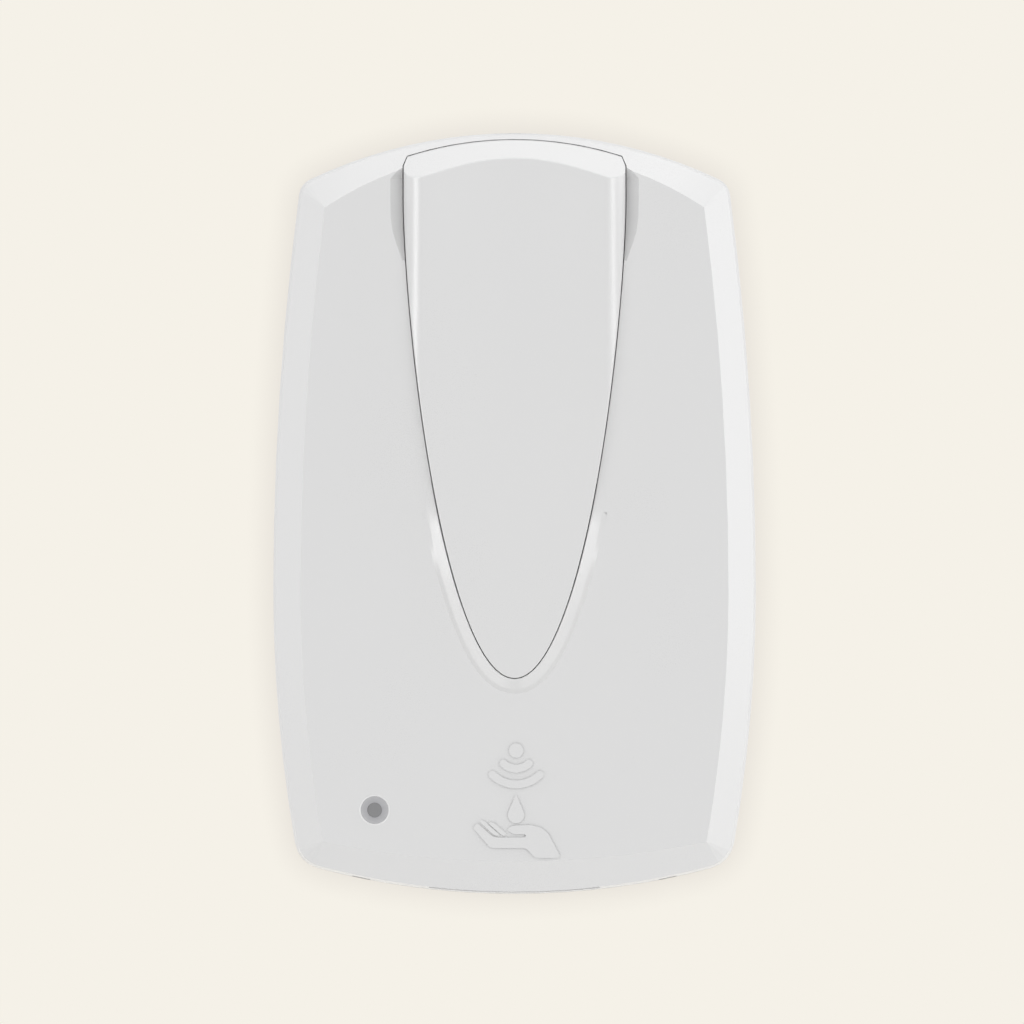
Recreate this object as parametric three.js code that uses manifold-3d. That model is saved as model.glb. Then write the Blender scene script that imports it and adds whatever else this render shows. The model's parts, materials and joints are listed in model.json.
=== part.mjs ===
// An automatic hand sanitizer dispenser for a wall, in millimetres.
// +X is right, +Z is up and the wall is the plane y = 0. Depths are measured forward from the wall, along -Y.
// The origin is the middle of the rear face of the wall plate.
import * as THREE from "three";
import { mergeVertices } from "three/addons/utils/BufferGeometryUtils.js";
import Module from "manifold-3d";

const wasm = await Module();
wasm.setup();

// Driving dimensions of the whole body, seen from the front
const bodyWidth = 170;
const bodyHeight = 268;
const waistDrop = 27;
const crownRadius = 167.5;
const soleRadius = 269;
const upperFlankRadius = 1075;
const lowerFlankRadius = 521;
const topCornerRadius = 7;
const bottomCornerRadius = 11;

// Driving dimensions of the cover's depth, bevels and wall
const faceDepth = 111.5;
const bevelDepth = 10;
const sideDraft = 0.8;
const sideBevel = 9.6;
const crownBevel = 6;
const soleBevel = 11.4;
const faceCrownRadius = 121;
const faceSoleRadius = 335;
const coverWall = 3;
const coverRearGap = 0.5;

// Clearances and overruns that several pieces share
const seatGap = 0.3;
const looseGap = 0.6;
const softEdge = 1;
const overrun = 1;
const cutReach = 400;

// The tongue-shaped centre panel
const tongueHalfWidth = 39.1;
const tongueShoulder = 24;
const tongueLength = 192;
const tongueCrownRadius = 124;
const tongueCrownInset = 2.4;
const tongueCornerAcross = 1.4;
const tongueCornerDrop = 2.8;
const tongueRiseTop = 6.5;
const tongueRiseTip = 3.5;
const tongueDish = 3.1;
const tongueEdgeRound = 6.5;
const tongueEndDrop = 5.4;
const tongueSkin = 3.5;
const tongueHollowDrop = 136.7;
const seamGap = 0.35;
const seamRecess = 4;
const seamLip = 3;
const seamBand = 4;
const recessStart = 50;
const recessFull = 30;
const recessHigh = 16;
const recessEnd = 11;
const lipStart = 122;
const lipFull = 172;
const pocketDepth = 8.5;
const pocketWall = 2.5;

// The hinge at the lower rear edge
const hingeLift = 16;
const hingeDepth = 24;
const pinRadius = 2.5;
const knuckleRadius = 5.5;
const earClearance = 1.5;
const earWidth = 5;
const knuckleWidth = 6;
const hingeSideGap = 0.6;

// The wall plate
const plateThickness = 3;
const plateGap = 1.6;
const plateHeelHalf = 72.5;
const plateLip = 3.5;
const plateLockNotch = 13;
const rimHeight = 6;
const rimWidth = 2;
const rimStart = 74;
const wallHoleSpacingX = 120;
const wallHoleSpacingZ = 170;
const wallHoleRadius = 4.5;
const wallSlotRadius = 2.6;
const wallSlotLength = 8;

// The bottle and the shelf that carries it
const shelfRise = 64;
const shelfThickness = 3;
const shelfWidth = 100;
const shelfReach = 97;
const shelfFlange = 10;
const cheekLift = 2;
const cheekNotch = 19.5;
const bottleHeadroom = 53.7;
const bottleRear = 44.5;
const bottleClearance = 2;
const bottleWall = 2;
const bottleCorner = 14;
const neckRadius = 15;
const neckBore = 11;
const neckLength = 14;
const fillRadius = 17;
const fillLip = 3;
const capHeight = 8;
const capGrips = 12;
const capGrip = 1;

// The pump under the bottle
const collarRadius = 19;
const collarFloor = 2;
const collarGap = 1;
const gasketThickness = 1;
const pumpFlange = 2;
const pumpRadius = 9;
const pumpBore = 6.8;
const pumpLength = 45;
const pumpStroke = 9;
const springSolid = 5.5;
const springRadius = 6.6;
const springWire = 0.6;
const springTurns = 4;
const stemRadius = 4;
const pistonLength = 6;
const nozzleFlangeRadius = 12;
const nozzleFlangeHeight = 2.5;
const nozzleRadius = 5.5;
const nozzleLength = 16;
const nozzleBore = 2;

// The drive: two gear stages and a rack
const gearModule = 0.8;
const rackModule = 1.25;
const gearWidth = 4;
const motorTeeth = 10;
const wheelTeeth = 40;
const pinionTeeth = 12;
const rackTeeth = 6;
const rackTeethAbove = 2;
const meshClearance = 0.1;
const backlash = 0.15;
const gearGap = 0.5;
const gearEndGap = 1;
const axleRadius = 1.5;
const driveLift = 37;
const caseRear = 31;
const caseWall = 2;
const caseFloorLift = 16;
const motorRadius = 12;
const motorRear = 13.5;
const motorBoss = 4;
const motorShaft = 1;
const forkHalfWidth = 16;
const forkThickness = 4.5;
const forkArmHeight = 3;
const forkArmWidth = 6.5;
const forkRise = 22;
const forkFoot = 9;
const forkReach = 34;
const armGap = 1;
const guideRun = 11;
const guideWidth = 6;
const guideHeight = 10;
const guideHead = 1.5;

// The battery box and its cells
const cellRadius = 13;
const cellLength = 50;
const cellCount = 4;
const cellPitch = 27;
const cellNub = 3;
const cellNubHeight = 1;
const cellGap = 1;
const boxWall = 2;
const boxClearance = 6;
const doorThickness = 2.4;
const doorLip = 4;
const contactThickness = 1.2;
const contactWidth = 12;
const doorGrip = 3;

// Electronics
const boardWidth = 84;
const boardHeight = 50;
const boardThickness = 1.6;
const boardStandoff = 5;
const boardClearance = 8;
const bossRadius = 3.5;
const bossInset = 6;
const switchWidth = 16;
const switchHeight = 8;
const switchDepth = 7;
const switchShift = 22;
const switchRise = 20;
const knobWidth = 5;
const knobReach = 6;
const switchTravel = 4;
const ledRadius = 2.5;
const ledLength = 6;
const ledFlange = 0.6;
const irSpacing = 12;
const reedRadius = 2.2;
const reedLength = 14;
const reedInset = 17;
const reedPost = 8.5;
const magnetSize = 10;
const magnetThickness = 4;
const magnetClearance = 12.4;
const magnetDepth = 17;
const magnetPadInset = 9;

// The outlet at the bottom
const snoutHalfWidth = 28;
const snoutRear = 52;
const snoutFront = 97;
const outletGap = 2;
const outletWall = 2;
const outletHole = 8;
const windowHalfWidth = 12;
const windowRear = 82;
const windowLength = 10;
const windowFlange = 1.5;

// The status lens, seen from the front
const statusAcross = 49.3;
const statusDrop = 104.5;
const lensRadius = 4.6;
const lensEyeRadius = 2.6;
const lensDish = 1.9;
const lensSink = 0.3;
const lensLength = 5.4;
const lensFlange = 1.5;

// The lock in the cover's top
const lockDepth = 18;
const lockRadius = 8;
const lockLength = 22;
const lockFlange = 2.5;
const lockCoreRadius = 5;
const lockHead = 2.5;
const lockHeadStep = 1;
const keyWidth = 1.6;
const keyLength = 7;
const keyDepth = 3;
const camReach = 14;
const camWidth = 6;
const camThickness = 2.5;
const camLug = 5.5;
const nutRadius = 11;
const nutHeight = 5;
const keeperWall = 2;
const keeperBase = 3;
const keeperGap = 1.5;
const keeperTabEnd = 0.5;

// Screws, all alike but for their length
const screwRadius = 1.3;
const screwHeadRadius = 2.6;
const screwHeadHeight = 1.8;
const screwLength = 8;
const plateScrewLength = 5;

// Counts of facets
const crownSteps = 10;
const soleSteps = 8;
const flankSteps = 6;
const cornerSteps = 4;
const roundSides = 24;
const smallSides = 12;
const tongueRows = 22;
const recessRows = 5;
const springSteps = 8;
const springSides = 5;

// Shares and pure numbers
const tongueTaperShare = 1.5;
const tongueEndShare = 1.4;
const tongueRoundShares = [0.93, 0.73, 0.44, 0.17];
const tongueFlatShares = [1, 0.8, 0.55, 0.28, 0];
const tongueRoundPower = 1.6;
const tongueDishPower = 1.6;
const creaseTries = 8;
const pressureAngle = THREE.MathUtils.degToRad(25);
const addendumShare = 0.8;
const dedendumShare = 1.05;
const quarterTurn = Math.PI / 2;

// Levels and places that follow from the driving dimensions
const bodyTop = bodyHeight / 2;
const bodyBottom = -bodyHeight / 2;
const hingeLevel = bodyBottom + hingeLift;
const edgeDepth = faceDepth - bevelDepth;
const innerFace = faceDepth - coverWall;
const innerFloor = bodyBottom + coverWall;
const pocketFloor = faceDepth - pocketDepth;
const pocketBack = pocketFloor - pocketWall;
const shelfTop = bodyBottom + shelfRise;
const shelfUnderside = shelfTop - shelfThickness;
const boardLow = shelfTop + shelfFlange + boardClearance;
const boardHigh = boardLow + boardHeight;
const boxLow = boardHigh + boxClearance;
const bayLow = boxLow + boxWall;
const bayHigh = bayLow + cellLength + 2 * (contactThickness + looseGap);
const boxHigh = bayHigh + boxWall;
const magnetLevel = boxHigh + magnetClearance;
const bottleFront = pocketBack - bottleClearance;
const bottleMiddle = (bottleRear + bottleFront) / 2;

const materials = {
  shell: new THREE.MeshStandardMaterial({ color: 0xeeeeec, roughness: 0.28 }),
  innerPlastic: new THREE.MeshStandardMaterial({ color: 0xd9dad8, roughness: 0.5 }),
  bottlePlastic: new THREE.MeshStandardMaterial({ color: 0xe6ebea, roughness: 0.35 }),
  pumpPlastic: new THREE.MeshStandardMaterial({ color: 0xf2f2ee, roughness: 0.4 }),
  gearPlastic: new THREE.MeshStandardMaterial({ color: 0xe8e0c8, roughness: 0.45 }),
  darkPlastic: new THREE.MeshStandardMaterial({ color: 0x1d1e20, roughness: 0.35 }),
  greyPlastic: new THREE.MeshStandardMaterial({ color: 0x8d9192, roughness: 0.5 }),
  rubber: new THREE.MeshStandardMaterial({ color: 0x2a2a2c, roughness: 0.8 }),
  steel: new THREE.MeshStandardMaterial({ color: 0xb9bcc0, roughness: 0.3, metalness: 1 }),
  zincPlate: new THREE.MeshStandardMaterial({ color: 0xa9acb0, roughness: 0.35, metalness: 1 }),
  brassPlate: new THREE.MeshStandardMaterial({ color: 0xc8a45a, roughness: 0.35, metalness: 1 }),
  cellSleeve: new THREE.MeshStandardMaterial({ color: 0x3b4a55, roughness: 0.4 }),
  circuitBoard: new THREE.MeshStandardMaterial({ color: 0x1f5a3a, roughness: 0.5 }),
  clearLens: new THREE.MeshStandardMaterial({ color: 0x9aa3a8, roughness: 0.15 }),
};

// A closed geometry as a solid, right side out, without its flat triangles
function solid(geometry) {
  geometry.deleteAttribute("normal");
  geometry.deleteAttribute("uv");
  const merged = mergeVertices(geometry, 1e-4);
  const corners = merged.index.array;
  const kept = [];
  for (let i = 0; i < corners.length; i += 3) {
    const [a, b, c] = [corners[i], corners[i + 1], corners[i + 2]];
    if (a !== b && b !== c && c !== a) kept.push(a, b, c);
  }
  const vertProperties = merged.attributes.position.array;
  const triVerts = new Uint32Array(kept);
  const made = new wasm.Manifold(new wasm.Mesh({ numProp: 3, vertProperties, triVerts }));
  if (made.volume() > 0) return made;
  triVerts.reverse();
  return new wasm.Manifold(new wasm.Mesh({ numProp: 3, vertProperties, triVerts }));
}

function join(first, ...others) {
  return others.reduce((whole, next) => whole.add(next), first);
}

function cut(first, ...tools) {
  return tools.reduce((whole, tool) => whole.subtract(tool), first);
}

// A named mesh of a solid, placed in its group
function piece(group, name, made, material, placing = {}) {
  const { vertProperties, triVerts } = made.getMesh();
  const geometry = new THREE.BufferGeometry();
  geometry.setAttribute("position", new THREE.BufferAttribute(new Float32Array(vertProperties), 3));
  geometry.setIndex(new THREE.BufferAttribute(new Uint32Array(triVerts), 1));
  geometry.computeVertexNormals();
  const mesh = new THREE.Mesh(geometry, material.clone());
  mesh.name = name;
  mesh.position.set(placing.x ?? 0, -(placing.depth ?? 0), placing.z ?? 0);
  mesh.rotation.set(placing.tilt ?? 0, 0, placing.turn ?? 0);
  group.add(mesh);
  return mesh;
}

// A box between two places across, two depths and two levels
function block([left, right], [rear, front], [low, high]) {
  const box = new THREE.BoxGeometry(right - left, front - rear, high - low);
  box.translate((left + right) / 2, -(rear + front) / 2, (low + high) / 2);
  return solid(box);
}

// An outline of [x, z] points, extruded forward from one depth to another
function extrudedForward(points, rear, front) {
  const shape = new THREE.Shape(points.map(([x, z]) => new THREE.Vector2(x, z)));
  const geometry = new THREE.ExtrudeGeometry(shape, { depth: front - rear, bevelEnabled: false });
  geometry.rotateX(quarterTurn);
  geometry.translate(0, -rear, 0);
  return solid(geometry);
}

// An outline of [x, depth] points, extruded up from one level to another
function extrudedUp(points, low, high) {
  const shape = new THREE.Shape(points.map(([x, depth]) => new THREE.Vector2(x, -depth)));
  const geometry = new THREE.ExtrudeGeometry(shape, { depth: high - low, bevelEnabled: false });
  geometry.translate(0, 0, low);
  return solid(geometry);
}

// A profile of [radius, height] points, from the axis round to the axis, turned about an upright axis
function turned(profile, sides = roundSides) {
  const points = profile.map(([radius, height]) => new THREE.Vector2(radius, height));
  const geometry = new THREE.LatheGeometry(points, sides);
  geometry.rotateX(quarterTurn);
  return solid(geometry);
}

// The same with its axis pointing forward at a place on the front
function turnedForward(profile, x, z, sides = roundSides) {
  return turned(profile, sides).rotate([90, 0, 0]).translate([x, 0, z]);
}

function uprightRod(radius, low, high, x, depth, sides = roundSides) {
  const profile = [[0, low], [radius, low], [radius, high], [0, high]];
  return turned(profile, sides).translate([x, -depth, 0]);
}

function forwardRod(radius, rear, front, x, z, sides = roundSides) {
  return turnedForward([[0, rear], [radius, rear], [radius, front], [0, front]], x, z, sides);
}

function crossRod(radius, left, right, depth, z, sides = roundSides) {
  const profile = [[0, left], [radius, left], [radius, right], [0, right]];
  return turned(profile, sides).rotate([0, 90, 0]).translate([0, -depth, z]);
}

// Points on an arc, without its last one
function arc([x, z], radius, from, to, steps) {
  const points = [];
  for (let i = 0; i < steps; i++) {
    const angle = from + ((to - from) * i) / steps;
    points.push([x + radius * Math.cos(angle), z + radius * Math.sin(angle)]);
  }
  return points;
}

// Where two circles meet on the right, above or below
function meeting([ax, az], aRadius, [bx, bz], bRadius, above) {
  const [dx, dz] = [bx - ax, bz - az];
  const apart = Math.hypot(dx, dz);
  const along = (apart ** 2 + aRadius ** 2 - bRadius ** 2) / (2 * apart);
  const aside = Math.sqrt(aRadius ** 2 - along ** 2);
  const side = above ? -1 : 1;
  const x = ax + (along * dx - side * aside * dz) / apart;
  const z = az + (along * dz + side * aside * dx) / apart;
  return [x, z];
}

function angleTo([ax, az], [bx, bz]) {
  return Math.atan2(bz - az, bx - ax);
}

// The sizes of the body's outline at its rear rim and where its flat front face starts
const rimSizes = {
  crown: bodyTop,
  crownRadius,
  sole: bodyBottom,
  soleRadius,
  half: bodyWidth / 2,
  upper: upperFlankRadius,
  lower: lowerFlankRadius,
  topCorner: topCornerRadius,
  bottomCorner: bottomCornerRadius,
};
const faceSizes = {
  crown: bodyTop - crownBevel,
  crownRadius: faceCrownRadius,
  sole: bodyBottom + soleBevel,
  soleRadius: faceSoleRadius,
  half: bodyWidth / 2 - sideBevel,
  upper: upperFlankRadius - sideBevel,
  lower: lowerFlankRadius - sideBevel,
  topCorner: 0,
  bottomCorner: 0,
};

function drawnIn(sizes, distance) {
  return {
    crown: sizes.crown - distance,
    crownRadius: sizes.crownRadius - distance,
    sole: sizes.sole + distance,
    soleRadius: sizes.soleRadius - distance,
    half: sizes.half - distance,
    upper: sizes.upper - distance,
    lower: sizes.lower - distance,
    topCorner: Math.max(sizes.topCorner - distance, 0),
    bottomCorner: Math.max(sizes.bottomCorner - distance, 0),
  };
}

const edgeSizes = drawnIn(rimSizes, sideDraft);

// The closed outline of four arcs and four rounded corners, counter-clockwise from the bottom
function outline(sizes) {
  const crownCentre = [0, sizes.crown - sizes.crownRadius];
  const soleCentre = [0, sizes.sole + sizes.soleRadius];
  const upperCentre = [sizes.half - sizes.upper, -waistDrop];
  const lowerCentre = [sizes.half - sizes.lower, -waistDrop];
  const topCorner = meeting(
    crownCentre, sizes.crownRadius - sizes.topCorner,
    upperCentre, sizes.upper - sizes.topCorner, true,
  );
  const bottomCorner = meeting(
    soleCentre, sizes.soleRadius - sizes.bottomCorner,
    lowerCentre, sizes.lower - sizes.bottomCorner, false,
  );
  const soleEnd = angleTo(soleCentre, bottomCorner);
  const lowerStart = angleTo(lowerCentre, bottomCorner);
  const upperEnd = angleTo(upperCentre, topCorner);
  const crownStart = angleTo(crownCentre, topCorner);
  const right = [
    ...arc(soleCentre, sizes.soleRadius, -quarterTurn, soleEnd, soleSteps),
    ...arc(bottomCorner, sizes.bottomCorner, soleEnd, lowerStart, cornerSteps),
    ...arc(lowerCentre, sizes.lower, lowerStart, 0, flankSteps),
    ...arc(upperCentre, sizes.upper, 0, upperEnd, flankSteps),
    ...arc(topCorner, sizes.topCorner, upperEnd, crownStart, cornerSteps),
    ...arc(crownCentre, sizes.crownRadius, crownStart, quarterTurn, crownSteps),
    [0, sizes.crown],
  ];
  const left = right.slice(1, -1).reverse().map(([x, z]) => [-x, z]);
  return [...right, ...left];
}

// A solid through rings of as many points each, from the rearmost to the foremost
function loft(rings) {
  const count = rings[0].points.length;
  const positions = [];
  for (const { points, depth } of rings) {
    for (const [x, z] of points) positions.push(x, -depth, z);
  }
  const index = [];
  for (let i = 0; i + 1 < rings.length; i++) {
    for (let j = 0; j < count; j++) {
      const a = i * count + j;
      const b = i * count + ((j + 1) % count);
      index.push(a, b, b + count, a, b + count, a + count);
    }
  }
  const last = (rings.length - 1) * count;
  const rearCentre = rings.length * count;
  positions.push(0, -rings[0].depth, 0, 0, -rings[rings.length - 1].depth, 0);
  for (let j = 0; j < count; j++) {
    const next = (j + 1) % count;
    index.push(rearCentre, next, j, rearCentre + 1, last + j, last + next);
  }
  const geometry = new THREE.BufferGeometry();
  geometry.setAttribute("position", new THREE.BufferAttribute(new Float32Array(positions), 3));
  geometry.setIndex(index);
  return solid(geometry);
}

// The body's outer form from a depth at its rear to its face, drawn in by a wall's thickness
function bodyForm(rear, distance) {
  return loft([
    { points: outline(drawnIn(rimSizes, distance)), depth: rear },
    { points: outline(drawnIn(edgeSizes, distance)), depth: edgeDepth - distance / 2 },
    { points: outline(drawnIn(faceSizes, distance)), depth: faceDepth - distance },
  ]);
}

// The tongue's edges: half its width at a level, the slope there, its crown and its seam's depth
const tongueShoulderLevel = bodyTop - tongueShoulder;
const tongueTipLevel = bodyTop - tongueLength;

function tongueHalf(level) {
  const share = (level - tongueTipLevel) / (tongueShoulderLevel - tongueTipLevel);
  if (share >= 1) return tongueHalfWidth;
  return tongueHalfWidth * Math.sqrt(1 - Math.max(1 - share, 0) ** tongueTaperShare);
}

function tongueCrownAt(x) {
  const drop = tongueCrownRadius - Math.sqrt(tongueCrownRadius ** 2 - x ** 2);
  return bodyTop - tongueCrownInset - drop;
}

function ramp(level, start, full) {
  const share = THREE.MathUtils.clamp((level - start) / (full - start), 0, 1);
  return share * share * (3 - 2 * share);
}

// How far the sunk strip beside the tongue has opened at a level, from 0 to 1
function recessShareAt(level) {
  const opening = ramp(level, bodyTop - recessStart, bodyTop - recessFull);
  return opening * (1 - ramp(level, bodyTop - recessHigh, bodyTop - recessEnd));
}

function seamOffset(level) {
  const lip = seamLip * ramp(level, bodyTop - lipStart, bodyTop - lipFull);
  return lip - seamRecess * recessShareAt(level);
}

// The levels of the tongue's rows, closer together at its tip and beside its sunk strips
function tongueLevels(rows) {
  const start = bodyTop - recessStart;
  const levels = [];
  for (let i = 0; i <= rows; i++) {
    const level = tongueTipLevel + (tongueShoulderLevel - tongueTipLevel) * (i / rows) ** 2;
    if (level < start - softEdge) levels.push(level);
  }
  for (let i = 0; i <= recessRows; i++) {
    levels.push(start + ((tongueShoulderLevel - start) * i) / recessRows);
  }
  return levels;
}

// The seam's outline as [x, z] points with the way out from each, counter-clockwise from the tip
function tongueEdge(grow) {
  const right = tongueLevels(tongueRows).map((level) => [tongueHalf(level), level]);
  const corner = tongueCrownAt(tongueHalfWidth);
  right.push([tongueHalfWidth, bodyTop - recessHigh]);
  right.push([tongueHalfWidth, corner - tongueCornerDrop]);
  const inward = tongueHalfWidth - tongueCornerAcross;
  right.push([inward, tongueCrownAt(inward)]);
  for (let i = crownSteps / 2 - 1; i >= 0; i--) {
    const x = (inward * i) / (crownSteps / 2);
    right.push([x, tongueCrownAt(x)]);
  }
  const left = right.slice(1, -1).reverse().map(([x, z]) => [-x, z]);
  const all = [...right, ...left];
  return all.map(([x, z], i) => {
    const [fromX, fromZ] = all[(i + all.length - 1) % all.length];
    const [toX, toZ] = all[(i + 1) % all.length];
    const length = Math.hypot(toX - fromX, toZ - fromZ);
    const out = [(toZ - fromZ) / length, -(toX - fromX) / length];
    return { x: x + out[0] * grow, z: z + out[1] * grow, out };
  });
}

const edgePoints = (edge) => edge.map(({ x, z }) => [x, z]);

// How far the tongue's front stands forward at a place on it, short of its sloping top end
function tongueFront(x, level) {
  const run = tongueShoulderLevel - tongueTipLevel;
  const upShare = THREE.MathUtils.clamp((level - tongueTipLevel) / run, 0, 1);
  const crest = faceDepth + tongueRiseTip + (tongueRiseTop - tongueRiseTip) * upShare;
  const seam = faceDepth + seamOffset(level);
  const flatHalf = tongueHalfWidth - tongueEdgeRound;
  const outShare = THREE.MathUtils.clamp((Math.abs(x) - flatHalf) / tongueEdgeRound, 0, 1);
  const dish = tongueDish * upShare * Math.max(1 - (x / flatHalf) ** 2, 0) ** tongueDishPower;
  return seam + (crest - seam) * Math.sqrt(1 - outShare ** tongueRoundPower) - dish;
}

// The level of the crease where the front meets the top end, which slopes back to the crown
function tongueCrease(x) {
  let level = tongueShoulderLevel;
  for (let i = 0; i < creaseTries; i++) {
    const rise = tongueFront(x, level) - (faceDepth - tongueEndDrop);
    level = tongueCrownAt(x) - rise / tongueEndShare;
  }
  return level;
}

// The tongue as a grid of rows across it, closed by its back and its straight sides
function tongueForm() {
  const flatHalf = tongueHalfWidth - tongueEdgeRound;
  const rightward = [tongueHalfWidth];
  rightward.push(...tongueRoundShares.map((share) => flatHalf + tongueEdgeRound * share));
  rightward.push(...tongueFlatShares.map((share) => flatHalf * share));
  const stations = [...rightward.slice(0, -1).map((x) => -x), ...rightward.reverse()];
  const front = tongueLevels(tongueRows).map((level) => {
    const half = tongueHalf(level);
    const across = stations.map((x) => THREE.MathUtils.clamp(x, -half, half));
    return across.map((x) => [x, -tongueFront(x, level), level]);
  });
  front.push(stations.map((x) => {
    const level = (tongueShoulderLevel + tongueCrease(x)) / 2;
    return [x, -tongueFront(x, level), level];
  }));
  front.push(stations.map((x) => [x, -tongueFront(x, tongueCrease(x)), tongueCrease(x)]));
  front.push(stations.map((x) => [x, -faceDepth + tongueEndDrop, tongueCrownAt(x)]));
  const back = front.map((row) => row.map(([x, , z]) => [x, -pocketFloor - seatGap, z]));
  const columns = front[0].length;
  const positions = [...front.flat(), ...back.flat()].flat();
  const place = (side, row, column) => (side * front.length + row) * columns + column;
  const index = [];
  const quad = (a, b, c, d) => index.push(a, b, c, a, c, d);
  for (let i = 0; i + 1 < front.length; i++) {
    for (let j = 0; j + 1 < columns; j++) {
      quad(place(0, i, j), place(0, i, j + 1), place(0, i + 1, j + 1), place(0, i + 1, j));
      quad(place(1, i, j), place(1, i + 1, j), place(1, i + 1, j + 1), place(1, i, j + 1));
    }
    quad(place(0, i, 0), place(0, i + 1, 0), place(1, i + 1, 0), place(1, i, 0));
    const end = columns - 1;
    quad(place(0, i, end), place(1, i, end), place(1, i + 1, end), place(0, i + 1, end));
  }
  const top = front.length - 1;
  for (let j = 0; j + 1 < columns; j++) {
    quad(place(0, top, j), place(0, top, j + 1), place(1, top, j + 1), place(1, top, j));
  }
  const geometry = new THREE.BufferGeometry();
  geometry.setAttribute("position", new THREE.BufferAttribute(new Float32Array(positions), 3));
  geometry.setIndex(index);
  return solid(geometry);
}

// A band along a stretch of the seam, through a section of [way out, depth] points at each of its points
function band(stretch, section) {
  const rings = stretch.map(({ x, z, out }) => {
    return section(z).map(([way, depth]) => [x + out[0] * way, -depth, z + out[1] * way]);
  });
  const count = rings[0].length;
  const index = [];
  for (let i = 0; i + 1 < rings.length; i++) {
    for (let j = 0; j < count; j++) {
      const a = i * count + j;
      const b = i * count + ((j + 1) % count);
      index.push(a, b, b + count, a, b + count, a + count);
    }
  }
  const last = (rings.length - 1) * count;
  for (let j = 1; j + 1 < count; j++) index.push(0, j + 1, j, last, last + j, last + j + 1);
  const geometry = new THREE.BufferGeometry();
  geometry.setAttribute("position", new THREE.BufferAttribute(new Float32Array(rings.flat(2)), 3));
  geometry.setIndex(index);
  return solid(geometry);
}

const dispenser = new THREE.Group();

function assembly(name) {
  const group = new THREE.Group();
  group.name = name;
  dispenser.add(group);
  return group;
}

// The cover: a shell with bevelled edges, a pocket for the tongue, and what its hinge and lock need
const coverGroup = assembly("cover_assembly");
const seamEdge = tongueEdge(0);

function lipBand() {
  const start = bodyTop - lipStart;
  const rightWay = seamEdge.filter(({ x, z }) => z < start && x >= 0).reverse();
  const leftWay = seamEdge.filter(({ x, z }) => z < start && x < 0).reverse();
  const section = (z) => [
    [-overrun, innerFace],
    [-overrun, faceDepth + seamOffset(z)],
    [seamGap, faceDepth + seamOffset(z)],
    [seamGap + seamBand, faceDepth],
    [seamGap + seamBand, innerFace],
  ];
  return band([...rightWay, ...leftWay], section);
}

function recessBands() {
  const start = bodyTop - recessStart;
  const section = (z) => {
    const edge = 2 * seamGap + seamBand * recessShareAt(z);
    return [
      [-overrun, faceDepth + seamOffset(z)],
      [seamGap, faceDepth + seamOffset(z)],
      [edge, faceDepth],
      [edge, faceDepth + overrun],
      [-overrun, faceDepth + overrun],
    ];
  };
  const right = seamEdge.filter(({ x, z }) => z > start && x >= tongueHalf(start));
  const left = seamEdge.filter(({ x, z }) => z > start && x <= -tongueHalf(start));
  return [right, left].map((stretch) => band(stretch, section));
}

function eachSide(make) {
  return [make(1), make(-1)];
}

// The span from one distance to another from the middle, on one side
function span(side, near, far) {
  return side > 0 ? [near, far] : [-far, -near];
}

const earInner = shelfWidth / 2 + earClearance;
const earOuter = earInner + earWidth;
const knuckleInner = earOuter + hingeSideGap;
const knuckleOuter = knuckleInner + knuckleWidth;
const heelRadius = hingeDepth - plateThickness - looseGap;
const magnetFace = bodyWidth / 2 - magnetPadInset;
const outletRear = snoutRear - outletGap;
const outletFront = snoutFront + outletGap;
const lockTop = bodyTop - seatGap - sideDraft / 2;

function knuckle(side) {
  const [left, right] = span(side, knuckleInner, knuckleOuter);
  const rod = crossRod(knuckleRadius, left, right, hingeDepth, hingeLevel);
  const depths = [hingeDepth - knuckleRadius, hingeDepth + knuckleRadius];
  return join(rod, block([left, right], depths, [bodyBottom, hingeLevel]));
}

function earSlot(side) {
  const across = span(side, earInner - hingeSideGap, knuckleInner);
  const depths = [-overrun, hingeDepth + knuckleRadius + overrun];
  return block(across, depths, [bodyBottom - overrun, hingeLevel]);
}

function pinHole(side) {
  const [left, right] = span(side, earInner - pinRadius, knuckleOuter + pinRadius);
  return crossRod(pinRadius + seatGap, left, right, hingeDepth, hingeLevel);
}

function statusCutter() {
  const reach = faceDepth + overrun;
  return forwardRod(lensRadius + seatGap, innerFace - overrun, reach, -statusAcross, -statusDrop);
}

function coverSolid() {
  const outer = bodyForm(coverRearGap, 0);
  const pocketRim = edgePoints(tongueEdge(seamGap + pocketWall));
  const cavity = cut(bodyForm(-overrun, coverWall), extrudedForward(pocketRim, pocketBack, cutReach));
  const pocket = extrudedForward(edgePoints(tongueEdge(seamGap)), pocketFloor, cutReach);
  const heel = cut(
    block([-cutReach, cutReach], [-overrun, hingeDepth], [bodyBottom - overrun, hingeLevel]),
    crossRod(heelRadius, -cutReach, cutReach, hingeDepth, hingeLevel, 2 * roundSides),
  );
  const outletAcross = [-snoutHalfWidth - outletGap, snoutHalfWidth + outletGap];
  const outletLevels = [bodyBottom - overrun, innerFloor + 2 * coverWall];
  const outlet = block(outletAcross, [outletRear, outletFront], outletLevels);
  const lockHole = uprightRod(lockRadius + seatGap, bodyTop - 2 * coverWall, bodyTop + overrun, 0, lockDepth);
  const magnetPad = block(
    [magnetFace, bodyWidth / 2],
    [magnetDepth - magnetSize / 2, magnetDepth + magnetSize / 2],
    [magnetLevel - magnetSize / 2, magnetLevel + magnetSize / 2],
  );
  const shell = cut(join(outer, lipBand()), cavity, pocket, heel, outlet, lockHole, statusCutter());
  const fittings = join(...eachSide(knuckle), magnetPad).intersect(outer);
  return cut(join(shell, fittings), ...recessBands(), ...eachSide(earSlot), ...eachSide(pinHole));
}

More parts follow.
